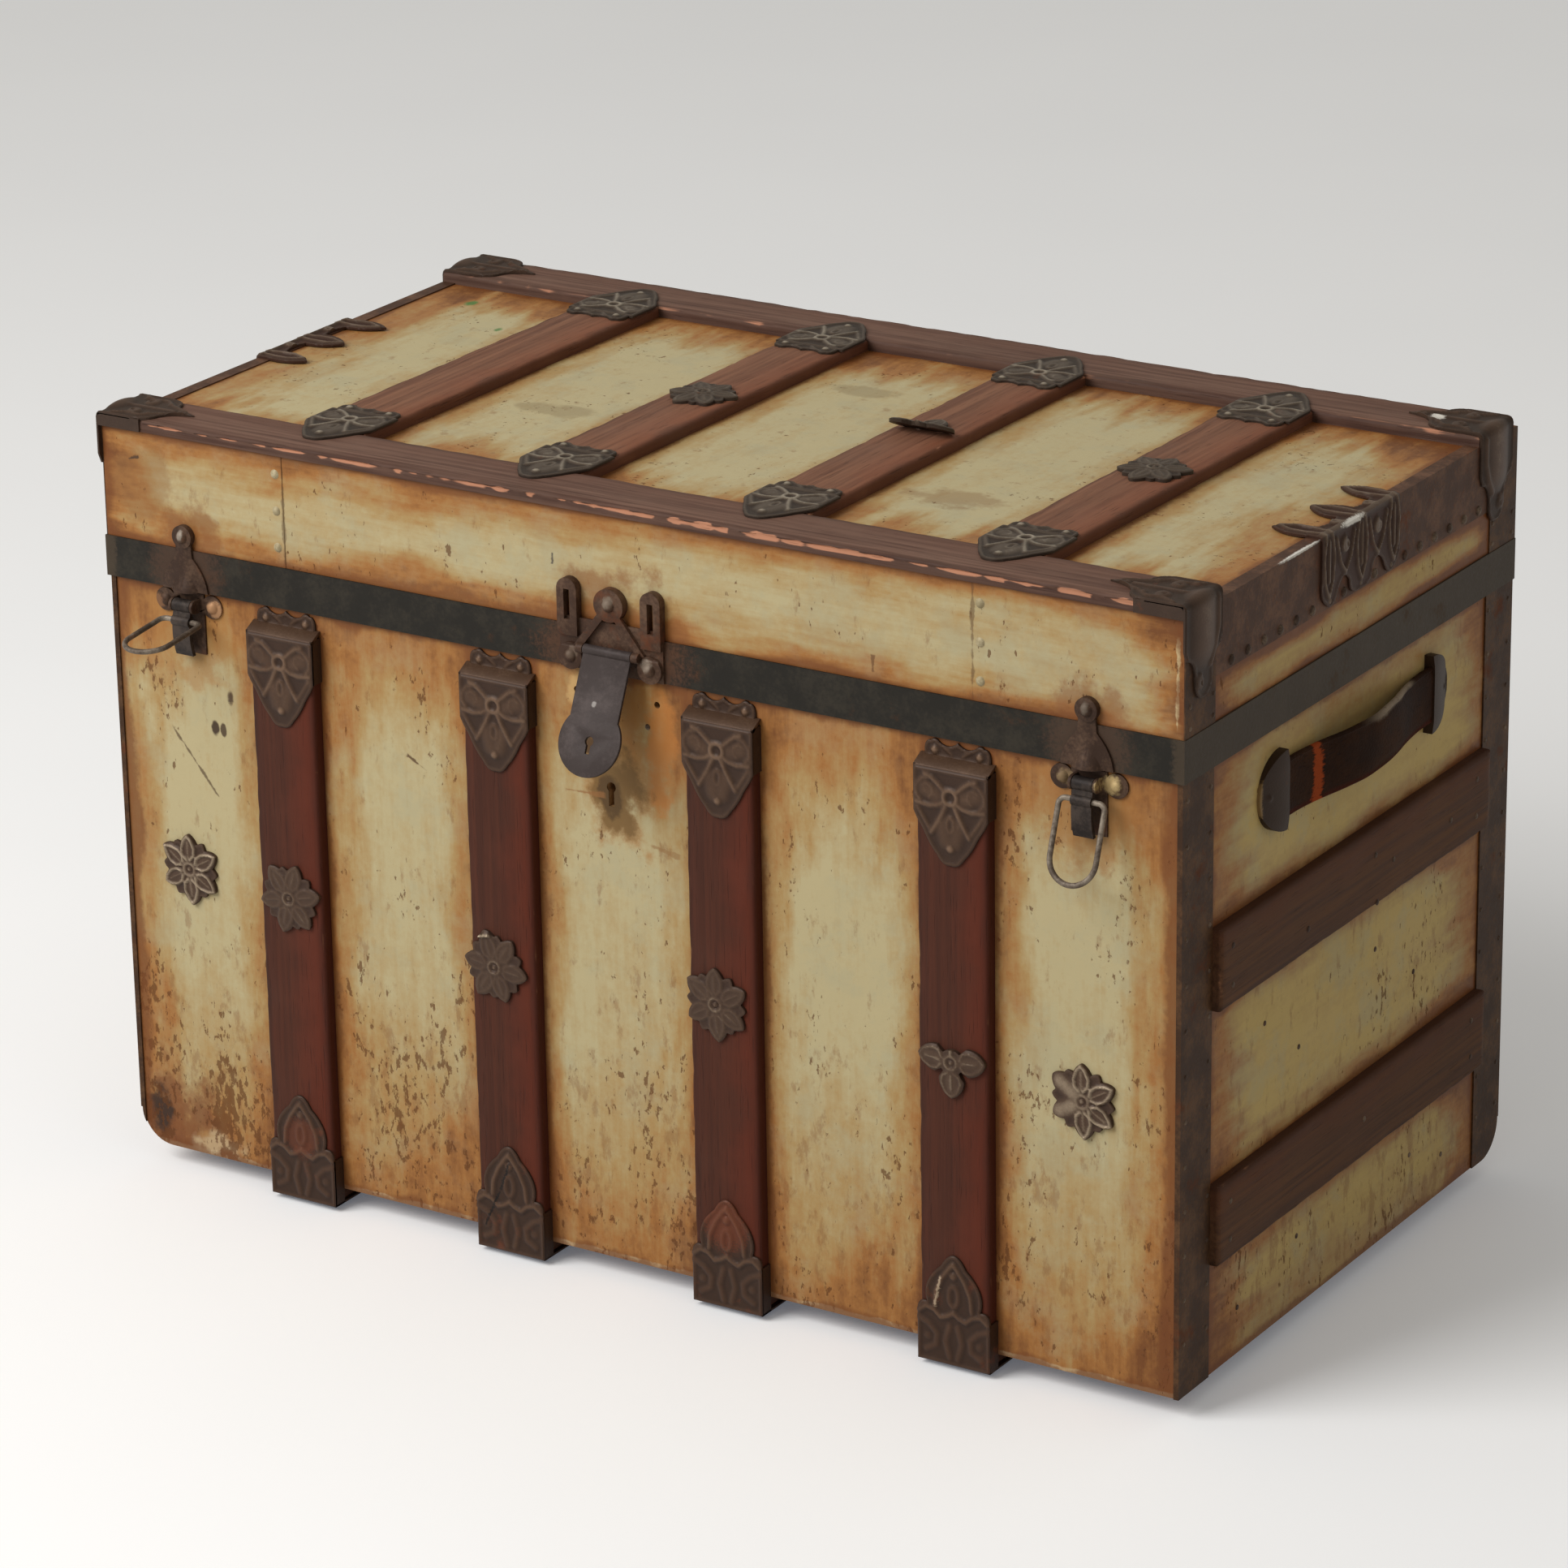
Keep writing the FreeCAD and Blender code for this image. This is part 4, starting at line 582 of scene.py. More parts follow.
def closeness(points, line):
    """The distance from each point to a line of corners."""
    nearest = numpy.full(len(points), 1.0)
    for start, end in zip(line[:-1], line[1:]):
        start, run = numpy.array(start), numpy.subtract(end, start)
        along = numpy.clip((points - start) @ run / max(run @ run, 1e-12), 0, 1)
        nearest = numpy.minimum(nearest, numpy.linalg.norm(points - start - along[:, None] * run, axis=1))
    return nearest


def bead(distance, width):
    """A rounded bead: 1 on its middle line, 0 from its half width outwards."""
    return numpy.clip(1 - (distance / width) ** 2, 0, 1)


def curl(u, v, start_radius, end_radius, start_turn, turns, tall=1.0):
    """Points along a spiral about a middle, in shares of a turn."""
    count = max(8, int(abs(turns) * 20))
    points = []
    for index in range(count + 1):
        radius = start_radius + (end_radius - start_radius) * index / count
        angle = 2 * math.pi * (start_turn + turns * index / count)
        points.append((u + radius * math.cos(angle), v + tall * radius * math.sin(angle)))
    return points


def both(*lines):
    """The lines and their mirror images across the middle line."""
    return [*lines] + [[(-u, v) for u, v in line] for line in lines]


def ridges(lines, half, proud):
    """Lines in millimetres as beads of one half width and height."""
    return [([(u * mm, v * mm) for u, v in line], half * mm, proud * mm) for line in lines]


def studs(*places):
    """Round bosses in millimetres: u, v, radius and height of each."""
    return [((u * mm, v * mm), radius * mm, proud * mm) for u, v, radius, proud in places]


def press(outline, beads, bosses, rim, rise, thickness=sheet, pitch=1.0 * mm, supple=False):
    """A closed sheet whose top is raised by beads along lines, round bosses and a beaded rim.

    beads hold a line, half width and height, and bosses a middle, radius and height. rim is the inset of
    the border bead, its half width and height, and rise the greatest height, for the attribute relief,
    all in millimetres. A supple sheet can be bent later, because its back is divided as well.
    """
    made = bmesh.new()
    relief, hollow = made.verts.layers.float.new("relief"), made.verts.layers.float.new("hollow")
    top_layer = made.faces.layers.int.new("top")
    under = made.faces.new([made.verts.new((u, v, 0)) for u, v in outline])
    lifted = bmesh.ops.extrude_face_region(made, geom=[under])["geom"]
    bmesh.ops.translate(made, vec=(0, 0, thickness),
                        verts=[item for item in lifted if isinstance(item, bmesh.types.BMVert)])
    for item in lifted:
        if isinstance(item, bmesh.types.BMFace):
            item[top_layer] = 1
    for axis in (0, 1):
        low, high = min(point[axis] for point in outline), max(point[axis] for point in outline)
        for place in steps(low, high, pitch)[1:-1]:
            cut_across(made, [face for face in made.faces if supple or face[top_layer]], axis, place)
    verts = list({vert for face in made.faces if face[top_layer] for vert in face.verts})
    points = numpy.array([vert.co.xy for vert in verts])
    border = closeness(points, outline + outline[:1])
    inset, half, proud = [size * mm for size in rim]
    strips = [(abs(border - inset), half, proud)]
    strips += [(closeness(points, line), half, proud) for line, half, proud in beads]
    height, foot = numpy.zeros(len(points)), numpy.zeros(len(points))
    for distance, half, proud in strips:
        height = numpy.maximum(height, proud * bead(distance, half))
        foot = numpy.maximum(foot, proud * bead(distance, 1.9 * half))
    for (u, v), radius, proud in bosses:
        distance = numpy.hypot(points[:, 0] - u, points[:, 1] - v)
        height = numpy.maximum(height, proud * numpy.sqrt(bead(distance, radius)))
        foot = numpy.maximum(foot, proud * bead(distance, 1.7 * radius))
    for vert, lift, dirt in zip(verts, height, foot - height):
        vert.co.z += lift
        vert[hollow] = min(1.0, max(0.0, dirt / (rise * mm)))
    inner = [vert for vert, gap in zip(verts, border) if gap > mm / 100]
    bmesh.ops.smooth_vert(made, verts=inner, factor=0.5, use_axis_z=True)
    for vert in verts:
        vert[relief] = min(1.0, (vert.co.z - thickness) / (rise * mm))
    made.faces.layers.int.remove(top_layer)
    mesh = bpy.data.meshes.new("pressed")
    made.to_mesh(mesh)
    made.free()
    return mesh


def new_stampings():
    """An empty mesh that keeps how far each corner stands up or lies deep."""
    group = bmesh.new()
    group.verts.layers.float.new("relief")
    group.verts.layers.float.new("hollow")
    return group


def finish_stampings(node, group, finish, body):
    """Makes the object of a group of stampings, in place of their node."""
    finish_piece(node + "_pressed", group, finish, body, [node])


def add_copy(group, mesh, turn):
    """Adds a copy of a mesh, turned and moved, to a group."""
    copy = mesh.copy()
    copy.transform(turn)
    group.from_mesh(copy)
    bpy.data.meshes.remove(copy)


def add_sides(group, x, low, high):
    """Adds the two edges of a clasp that are folded round its slat."""
    for edge in (x - slat_half - sheet, x + slat_half):
        add_block(group, (edge, clasp_face, low), (edge + sheet, front_face, high))


def add_fold(group, x):
    """Adds the part of a clasp that is folded back over its slat's end, painted lighter as a highlight on its
    upturned face.
    """
    top = slat_top + fold_rise + sheet
    nose = 0.6 * mm
    profile = ((slat_face, slat_top - sheet), (clasp_face, slat_top - sheet), (clasp_face, slat_top + nose),
               (clasp_face + nose, slat_top + sheet), (front_face - sheet, top), (front_face, top),
               (front_face, top - sheet))
    strip = group.faces.new([group.verts.new((x - clasp_width / 2, y, z)) for y, z in profile])
    made = bmesh.ops.extrude_face_region(group, geom=[strip])["geom"]
    moved = [item for item in made if isinstance(item, bmesh.types.BMVert)]
    bmesh.ops.translate(group, vec=(clasp_width, 0, 0), verts=moved)
    relief = group.verts.layers.float["relief"]
    # Painted highlight: the whole fold gets a middle relief, so it takes a lighter colour.
    for vert in [*moved, *strip.verts]:
        vert[relief] = 0.5


butterfly = ridges([curl(0, 45, 4.7, 4.7, 0, 1)], 2.3, 1.7)
butterfly += ridges(both(
    [(4.0, 48.5), (9, 53), (13.5, 56.5), (18, 58)],
    [(4.2, 41.8), (9, 38.8), (15, 37.6), (24, 38.8)],
    [(2.8, 40.0), (6, 33), (10, 26), (13.5, 20.5)],
), 2.5, 1.4)
butterfly += ridges(both(
    [(8, 53), (14, 56.2), (20, 54.8), (24, 50), (24.2, 44.5), (21, 40)],
    [(20, 50), (17, 52), (13, 50), (12, 46), (15, 43)],
    [(23.5, 36), (19, 29), (15, 23)],
) + [curl(0, 27, 2.4, 2.4, 0, 1, 2.1)], 2.0, 1.1)
butterfly += ridges(both([(10, 45), (18, 48)], [(6, 27), (3, 16)]), 6.5, 0.9)
butterfly_studs = studs((0, 11.5, 3.2, 1.8), (17, 47, 1.8, 0.8), (-17, 47, 1.8, 0.8))
tongue = press(half_outline(tongue_outline, clasp_width, tongue_length), butterfly, butterfly_studs,
               (1.3, 1.2, 0.9), 1.9)
tab = press(half_outline(tab_outline, clasp_width, tab_length), ridges(both([(4, 3), (9, 6.5)]), 1.4, 1.0),
            studs((-16, 4.6, 3.0, 1.9), (16, 4.6, 3.0, 1.9)), (1.1, 1.1, 0.9), 1.9)
foot_beads = ridges(both(
    [(13.5, 40), (12.5, 50), (8, 60), (3, 67), (0, 70.5)],
    [(25, 34), (20, 38), (14, 36.5), (9, 32), (4, 34), (0, 37)],
), 2.3, 1.6)
foot_beads += ridges(both(
    [(25, 29), (18, 26), (12, 20), (13, 12), (20, 8)],
    [(3, 27), (6, 16), (3, 5)],
), 2.8, 1.0)
foot_beads += ridges([curl(0, 48, 3.4, 3.4, 0, 1, 2.1)], 2.2, 1.1)
foot_studs = studs((0, 62, 3.0, 1.5), (19, 17, 3.0, 0.8), (-19, 17, 3.0, 0.8))
foot_clasp = press(half_outline(foot_outline, clasp_width, foot_height), foot_beads, foot_studs,
                   (1.3, 1.2, 1.0), 1.9)
foot_marks = drawn(
    stroke, front,
    ((-90.5, 69), (-99, 47), (22, 15, 12), 0.95),
    ((-99, 47), (-112, 19), (22, 15, 12), 0.95),
    ((235, 42), (239.5, 65), (188, 166, 140), 0.8),
)
foot_marks += drawn(
    spot, front,
    ((78.5, 63), (20, 22), (120, 60, 36), 0.55),
    ((-261.5, 50), (16, 16), (112, 58, 36), 0.5),
)
clasp_iron = pressed_iron("clasp_iron", (58, 39, 28), (79, 57, 42), (122, 96, 76), 0.05)
foot_iron = pressed_iron("foot_clasp_iron", (58, 39, 28), (76, 53, 39), (102, 77, 59), 0.2, foot_marks)
top_clasps, foot_clasps = new_stampings(), new_stampings()
for x in slat_middles:
    add_copy(top_clasps, tongue, stand((x, slat_face, slat_top - tongue_length), upwards, to_front))
    add_copy(top_clasps, tab, stand((x, front_face, slat_top + fold_rise), upwards, to_front))
    add_fold(top_clasps, x)
    add_sides(top_clasps, x, side_low, slat_top + sheet)
    add_copy(foot_clasps, foot_clasp, stand((x, slat_face, foot_low), upwards, to_front))
    add_sides(foot_clasps, x, foot_low, foot_low + foot_shoulder * foot_height)
    left, right = x - clasp_width / 2, x + clasp_width / 2
    add_block(foot_clasps, (left, clasp_face, foot_low), (right, slat_face + foot_wrap, runner_low))
finish_stampings("slat_top_clasps", top_clasps, clasp_iron, "base")
finish_stampings("slat_foot_clasps", foot_clasps, foot_iron, "base")

# Rosettes: flowers of stamped iron with six veined petals, pinned through the middle with a round stud.
# Those on the slats are dark and rubbed flat; the two on the outer panels keep a pale edge on each petal.
rosette_radius = 26 * mm
petals, headings = 6, 144


def turned(radius, angle):
    """A point at a radius and an angle in degrees."""
    return (radius * math.cos(math.radians(angle)), radius * math.sin(math.radians(angle)))


def petal(turn):
    """The angle and the length of a petal, in degrees and millimetres; no two are quite alike."""
    return 60 * turn + 4 * math.sin(2.1 * turn), 25 + math.sin(3.7 * turn)


def petal_lines(angle, length, spread):
    """The two edges and the vein of one leaf-shaped petal, in millimetres."""
    bends = ((7, 0.4), (11, 0.84), (15.5, 0.66), (20.5, 0.3), (length - 1, 0))
    edges = [[turned(radius, angle + side * share * spread) for radius, share in bends] for side in (-1, 1)]
    return edges, [turned(8, angle), turned(19, angle)]


def rosette(edge_lift, vein_lift, worn=(), turns=range(petals), extra=(), pale=0.0, spread=30):
    """A flower on the XY plane, facing up; worn petals are smooth, and turns are the petals that are left.

    extra are more beads, pale is how much lighter than the others its metal is rubbed, and spread is half
    the angle of a petal in degrees.
    """
    outline = []
    for index in range(headings):
        heading = 360 * index / headings
        reach = 8.5
        for turn in turns:
            angle, length = petal(turn)
            near = abs((heading - angle + 180) % 360 - 180) / spread
            between = abs((heading - angle - 30 + 180) % 360 - 180) / 30
            if near <= 1:
                reach = max(reach, length * (1 - 0.42 * near ** 1.35))
            if between <= 1 and len(turns) == petals:
                reach = max(reach, 22 * (1 - 0.5 * between ** 1.4))
        outline.append(turned(reach * mm, heading))
    beads = list(extra)
    for turn in turns:
        edges, vein = petal_lines(*petal(turn), spread)
        if turn in worn:
            beads += ridges([vein], 0.25 * spread, 1.5)
        else:
            beads += ridges(edges, 1.5, edge_lift)
            beads += ridges([vein], 0.18 * spread, 0.7 * vein_lift)
            beads += ridges([vein], 1.3, vein_lift + 0.3)
    beads += ridges([curl(0, 0, 4.4, 4.4, 0, 1)], 1.8, 1.5)
    made = press(outline, beads, studs((0, 0, 1.8, 1.6)), (0.9, 1.0, 0.6), 2.2, 1.5 * mm)
    for vert in made.vertices:
        if vert.co.z > 1 * mm:
            vert.co.z += 1.2 * mm * max(0.0, 1 - (vert.co.xy.length / rosette_radius) ** 2)
    for kept in made.attributes["relief"].data:
        kept.value += pale
    return made


def flower_turn(point, up, out, degrees):
    """The turn that stands a flower at a point, spun about its stud."""
    return stand(point, up, out) @ Matrix.Rotation(math.radians(degrees), 4, "Z")


dull_flower = rosette(1.2, 1.0)
glint_flower = rosette(1.1, 0.9, extra=ridges([[turned(22, 108), turned(25, 140)]], 1.5, 3.2))
half_flower = rosette(1.5, 1.3, (), (2.9, 4.5, 6.1), ridges([[(0, 6), (0, 8)]], 2.0, 1.6), spread=40)
crisp_flower = rosette(2.2, 1.1, pale=0.12)
worn_flower = rosette(2.2, 1.1, (2, 3), pale=0.12)
flower_iron = pressed_iron("slat_flower_iron", (62, 43, 33), (84, 64, 50), (160, 142, 120), 0.05)
flowers = new_stampings()
for flower, x, y, z, degrees in (
        (dull_flower, -0.2615, slat_face, 0.2225, 12), (glint_flower, -0.0966, slat_face, 0.2067, -8),
        (dull_flower, 0.0745, slat_face, 0.2158, 30), (half_flower, 0.2485, slat_face, 0.2125, 0),
        (crisp_flower, -0.3508, front_face, 0.2233, 30), (worn_flower, 0.3372, front_face, 0.2021, 30)):
    add_copy(flowers, flower, flower_turn((x, y, z), upwards, to_front, degrees))
finish_stampings("front_rosettes", flowers, flower_iron, "base")

# Leather handles: one thick strap on each end, bowed out for the hand and tucked into a cap at both ends.
# The top edge is painted pale as a highlight towards the rear cap, and one place is scraped to the raw orange
# hide.
handle_height = 0.380
strap_half = 19 * mm
strap_thickness = 5 * mm
strap_inner = 0.4056
strap_bow = 11 * mm
strap_bend = 93.5 * mm
strap_end = 111.5 * mm
cap_half, cap_depth, cap_thickness = 26.5 * mm, 29 * mm, 7.8 * mm
cap_mouth = 99.5 * mm
cap_flange = 2.0 * mm
cap_steps = 24
hands = (("right", 1), ("left", -1))


def strap_reach(y):
    """How far the strap stands off its end wall at a place along it."""
    share = min(1.0, abs(y) / strap_bend)
    return strap_bow * (1 - 2 * share ** 2 if share < 0.5 else 2 * (1 - share) ** 2)


leather, place = new_finish("old_leather")
y, z = place.axis(1), place.axis(2)
pebble = place.node("ShaderNodeTexVoronoi", {}, {"Vector": place, "Scale": 520.0})
cloud = place.grain(30.0, 4.0, 0.6)
crack = place.grain((40.0, 160.0, 700.0), 3.0, 0.6)
colour = cloud.rise(0.3, 0.7).mix(tone(38, 21, 12), tone(60, 37, 23))
# Painted highlight: a pale band along the strap's top edge, between the middle and the rear cap.
upper = (z + (cloud - 0.5) * 0.010).rise(0.3945, 0.3985) * y.rise(-0.02, 0.02) * (1.0 - y.rise(0.062, 0.075))
colour = (upper * 0.8).mix(colour, tone(168, 152, 134))
lower = 1.0 - (z + (cloud - 0.5) * 0.008).rise(0.3612, 0.3660)
colour = (lower * 0.6).mix(colour, tone(84, 36, 27))
scrape = 1.0 - (abs(y + 0.064 + (crack - 0.5) * 0.012) + (cloud - 0.5) * 0.012).rise(0.0026, 0.0060)
colour = (scrape * 0.8).mix(colour, tone(168, 74, 34))
colour = (crack.rise(0.62, 0.70) * 0.6).mix(colour, tone(34, 23, 19))
lay_on(leather, place, pebble * 0.0002 - crack.rise(0.6, 0.7) * 0.0004, colour, 0.58 + cloud * 0.2, 0.06)
cap_edge = [(-cap_half, 0.0), (cap_half, 0.0)]
cap_turns = [math.pi * index / cap_steps for index in range(1, cap_steps)]
cap_edge += [(cap_half * math.cos(turn), cap_depth * math.sin(turn)) for turn in cap_turns]
cap_swell = [([(-14 * mm, 0), (14 * mm, 0)], 27 * mm, cap_thickness - cap_flange)]
handle_cap = press(cap_edge, cap_swell, studs((0, 20, 2.6, 4.2)), (1.0, 1.1, 1.0), 30, cap_flange, 1.2 * mm)
cap_marks = drawn(spot, (1,), ((-129.2,), (4.2,), (158, 128, 84), 0.6), ((129,), (2,), (120, 76, 50), 0.5))
cap_iron = pressed_iron("handle_cap_iron", (48, 32, 21), (60, 42, 29), (78, 56, 41), 0.1, cap_marks)
for hand, side in hands:
    strap = bmesh.new()
    low = Vector((strap_inner, -strap_end, handle_height - strap_half))
    high = Vector((strap_inner + strap_thickness, strap_end, handle_height + strap_half))
    add_block(strap, low, high)
    long_edges = [edge for edge in strap.edges if abs(edge.verts[0].co.y - edge.verts[1].co.y) > strap_end]
    round_off(strap, long_edges, 2.2 * mm, 4)
    for axis in (1, 2):
        for step in steps(low[axis], high[axis], 3 * mm)[1:-1]:
            cut_across(strap, strap.faces, axis, step)
    for vert in strap.verts:
        free = max(0.0, 1 - abs(vert.co.y) / strap_bend)
        edge = 1 - abs(vert.co.z - handle_height) / strap_half
        outer = vert.co.x > strap_inner + strap_thickness / 2
        vert.co.x += strap_reach(vert.co.y) - 0.8 * mm * bead(edge - 0.16, 0.08) * outer
        vert.co.x += free * 0.9 * mm * noise.noise(vert.co * 38)
        vert.co.z += free * 1.6 * mm * noise.noise(Vector((vert.co.y * 20, side, 0)))
        vert.co.x *= side
    finish_piece(hand + "_handle_leather", strap, leather, "base", [hand + "_handle_strap"])
for hand, side in hands:
    caps = new_stampings()
    for end in (-1, 1):
        point = (side * case_end, end * cap_mouth, handle_height)
        add_copy(caps, handle_cap, stand(point, (0, end, 0), (side, 0, 0)))
    finish_stampings(hand + "_handle_caps", caps, cap_iron, "base")

# Draw latches: a plate on each outer panel with a bowed lever and a bent wire bail hanging from it.
# Their keepers are riveted to the lid above. All are blued iron gone brown, bright on the rivets.


def soften(node, finish, body, radius):
    """A copy of a cut and filed piece with its edges worn round, in place of its sharp solid."""
    shape = bmesh.new()
    shape.from_mesh(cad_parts[node].data)
    bmesh.ops.remove_doubles(shape, verts=shape.verts, dist=mm / 200)
    bmesh.ops.dissolve_limit(shape, angle_limit=math.radians(2), verts=shape.verts, edges=shape.edges)
    keen = [edge for edge in shape.edges if edge.is_manifold and edge.calc_face_angle() > math.radians(40)]
    round_off(shape, keen, radius, 2, clamp=True)
    finish_piece(node + "_worn", shape, finish, body, [node])


latch_marks = drawn(
    spot, front,
    ((356.5, 413.5), (7.5, 7.5), (198, 172, 122), 0.85),
    ((325, 413.5), (6, 6), (150, 126, 92), 0.7),
    ((-319, 412), (7, 7), (192, 146, 106), 0.8),
    ((-366, 411), (6, 6), (150, 108, 76), 0.6),
    ((-340.9, 461.5), (2.6, 4.2), (160, 150, 138), 0.7),
    ((340.9, 461.5), (3, 4.6), (112, 100, 88), 0.7),
)
latch_iron = scuffed_metal("latch_iron", (58, 41, 32), (94, 72, 57), (98, 62, 42), 0.25, 0.2, latch_marks)
lever_iron = scuffed_metal("lever_iron", (40, 34, 32), (74, 64, 58), (84, 60, 48), 0.35, 0.05)
bail_wire = scuffed_metal("bail_wire", (92, 80, 70), (150, 138, 124), (110, 78, 58), 0.35, 0.1)
soften("latch_plates", latch_iron, "base", 0.3 * mm)
soften("latch_keepers", latch_iron, "lid", 0.3 * mm)
dress(latch_iron, "latch_pins")
dress(lever_iron, "left_latch_lever", "right_latch_lever")
dress(bail_wire, "left_latch_bail", "right_latch_bail")

# Hinges on the back and rollers under the corners: plain rolled steel leaves and cups screwed to the wood,
# and turned hardwood wheels on steel axles, dull from the floor.
hinge_steel = scuffed_metal("hinge_steel", (64, 58, 52), (112, 104, 94), (112, 64, 38), 0.4, 0.15)
dress(hinge_steel, "base_hinge_leaves", "lid_hinge_leaves", "hinge_pins", "roller_cups", "roller_axles")
roller_wood = worn_wood("roller_wood", 1, (48, 34, 27), (84, 62, 46), (66, 44, 33), (112, 86, 64), 0.3)
dress(roller_wood, "roller_front_left", "roller_front_right", "roller_back_left", "roller_back_right")

# Lid coverings: the same painted sheet as the case, in one piece over the top and in three on the front,
# lapped and riveted at two seams. The top lies dusty and pale, and the front is streaked lengthways.
lid_slat_middles = (-0.249, -0.079, 0.091, 0.261)
lid_foot, band_top = 0.527, 0.4506
under_band, over_lid = 0.4, 0.6
lid_back, end_binding_foot = 0.226, 0.480
front_slat_face, front_slat_back = -0.2276, -0.1810
back_slat_front, back_slat_back = 0.1666, 0.2132
top_streaks = (110.0, 14.0, 110.0)
long_streaks = (10.0, 200.0, 200.0)
cross_streaks = (200.0, 10.0, 200.0)
lid_top_edges = spans(0, lid_slat_middles, slat_half, 0.030, 0.48)
lid_top_edges += spans(0, (-0.401, 0.401), 0.0044, 0.07, 0.62)
lid_top_edges += [(1, front_slat_face, front_slat_back, 0.070, 0.70)]
lid_top_edges += [(1, back_slat_front, lid_back, 0.075, 0.80)]
lid_front_edges = [(2, under_band, band_top, 0.030, 0.66), (2, lid_foot, over_lid, 0.034, 0.66)]
lid_front_edges += spans(0, (-0.41, 0.41), 0.006, 0.04, 0.65)
lid_end_edges = [(2, under_band, band_top, 0.016, 0.75), (2, end_binding_foot, over_lid, 0.016, 0.75)]
lid_end_edges += spans(1, (-0.21, 0.21), 0.024, 0.03, 0.6)
lid_top_marks = drawn(
    spot, flat,
    ((-158.2, -52.8), (34, 14), (122, 100, 68), 0.38),
    ((-9.2, 83.9), (30, 12), (128, 108, 76), 0.4),
    ((-257.2, -32.9), (18, 10), (122, 100, 68), 0.5),
    ((170, -90), (40, 20), (140, 104, 66), 0.5),
    ((-358.2, 134), (5.5, 8), (72, 124, 62), 0.9),
    ((-303.6, 87), (3.5, 5), (72, 124, 62), 0.85),
)
lid_front_marks = drawn(
    spot, front,
    ((-340.9, 456), (30, 30), (134, 84, 46), 0.65),
    ((340.9, 456), (30, 26), (140, 88, 48), 0.6),
    ((-3, 460), (62, 34), (140, 88, 46), 0.65),
    ((-370, 490), (30, 30), (142, 100, 58), 0.5),
)
lid_front_marks += drawn(
    stroke, front,
    ((-48.6, 487.5), (-48.3, 495.5), (92, 84, 74), 0.95),
    ((-385, 506), (-376, 509), (70, 52, 38), 0.9),
    ((188, 456), (188.5, 468), (110, 76, 48), 0.8),
    ((-259.5, 448), (-259.5, 530), (92, 66, 42), 0.6),
    ((259.5, 448), (259.5, 530), (92, 66, 42), 0.6),
    ((401.2, 456), (401.8, 515), (212, 190, 146), 0.8),
)
dress(aged_paint("lid_paint_top", lid_top_edges, top_streaks, marks=lid_top_marks), "lid_top_cover")
dress(aged_paint("lid_paint_front", lid_front_edges, long_streaks, marks=lid_front_marks, start=0.12),
      "lid_front_sheets")
dress(aged_paint("lid_paint_back", lid_front_edges, long_streaks, start=0.12), "lid_back_cover")
dress(aged_paint("lid_paint_end", lid_end_edges, cross_streaks, fresh_paint=end_fresh, start=0.2),
      "lid_end_covers")
nickel = scuffed_metal("nickel_rivets", (158, 144, 112), (196, 184, 152), (150, 112, 74), 0.15, 0.0)
dress(nickel, "seam_rivets")

# Lid slats: one batten along each long edge and four across between them, greyed by dust and hands.
# The front one is split along its front face, where pale splintered wood shows.
lid_slat_top = 0.535
split_height = 0.5318
split_places = (-0.41, -0.28, -0.20, 0.0, 0.04, 0.18, 0.20, 0.25, 0.28, 0.35, 0.41)
split_widths = (0.6, 0.6, 0.8, 0.9, 1.2, 1.5, 0.8, 0.8, 1.3, 1.2, 0.7)
lid_bare = (196, 138, 108)
long_wood = worn_wood("lid_slat_long", 0, (88, 61, 51), (124, 94, 80), (106, 74, 61), lid_bare, 0.25)
cross_wood = worn_wood("lid_slat_cross", 1, (106, 70, 54), (138, 97, 75), (134, 80, 56), lid_bare, 0.2)
front_corners = ((-slat_end, front_slat_face, lid_foot), (slat_end, front_slat_back, lid_slat_top))
back_corners = ((-slat_end, back_slat_front, lid_foot), (slat_end, back_slat_back, lid_slat_top))
cross_corners = [((x - slat_half, front_slat_back, lid_foot), (x + slat_half, back_slat_front, lid_slat_top))
                 for x in lid_slat_middles]
front_edge = new_battens([front_corners], 0, (2, 1), 0.5)
wear = front_edge.verts.layers.float["wear"]
for vert in front_edge.verts:
    if vert.co.y < front_slat_face + 1.6 * mm:
        wave = noise.fractal(Vector((vert.co.x * 50, 0, 3)), 0.5, 2.0, 5)
        half = float(numpy.interp(vert.co.x, split_places, split_widths)) * 1.3 * mm * (1 + 1.6 * wave)
        torn = max(0.0, 1 - abs(vert.co.z - split_height - 0.4 * mm * wave) / max(half, mm / 10))
        vert[wear] = max(vert[wear], min(1.0, 2 * torn))
        vert.co.y += 1.4 * mm * min(1.0, 1.5 * torn)
back_edge = new_battens([back_corners], 0, (2, 1), 0.8)
cross_slats = new_battens(cross_corners, 1, (2, 1), 0.6)
for node, battens, wood in (
        ("lid_front_edge_slat", front_edge, long_wood),
        ("lid_back_edge_slat", back_edge, long_wood),
        ("lid_cross_slats", cross_slats, cross_wood)):
    finish_piece(node + "_worn", battens, wood, "lid", [node])

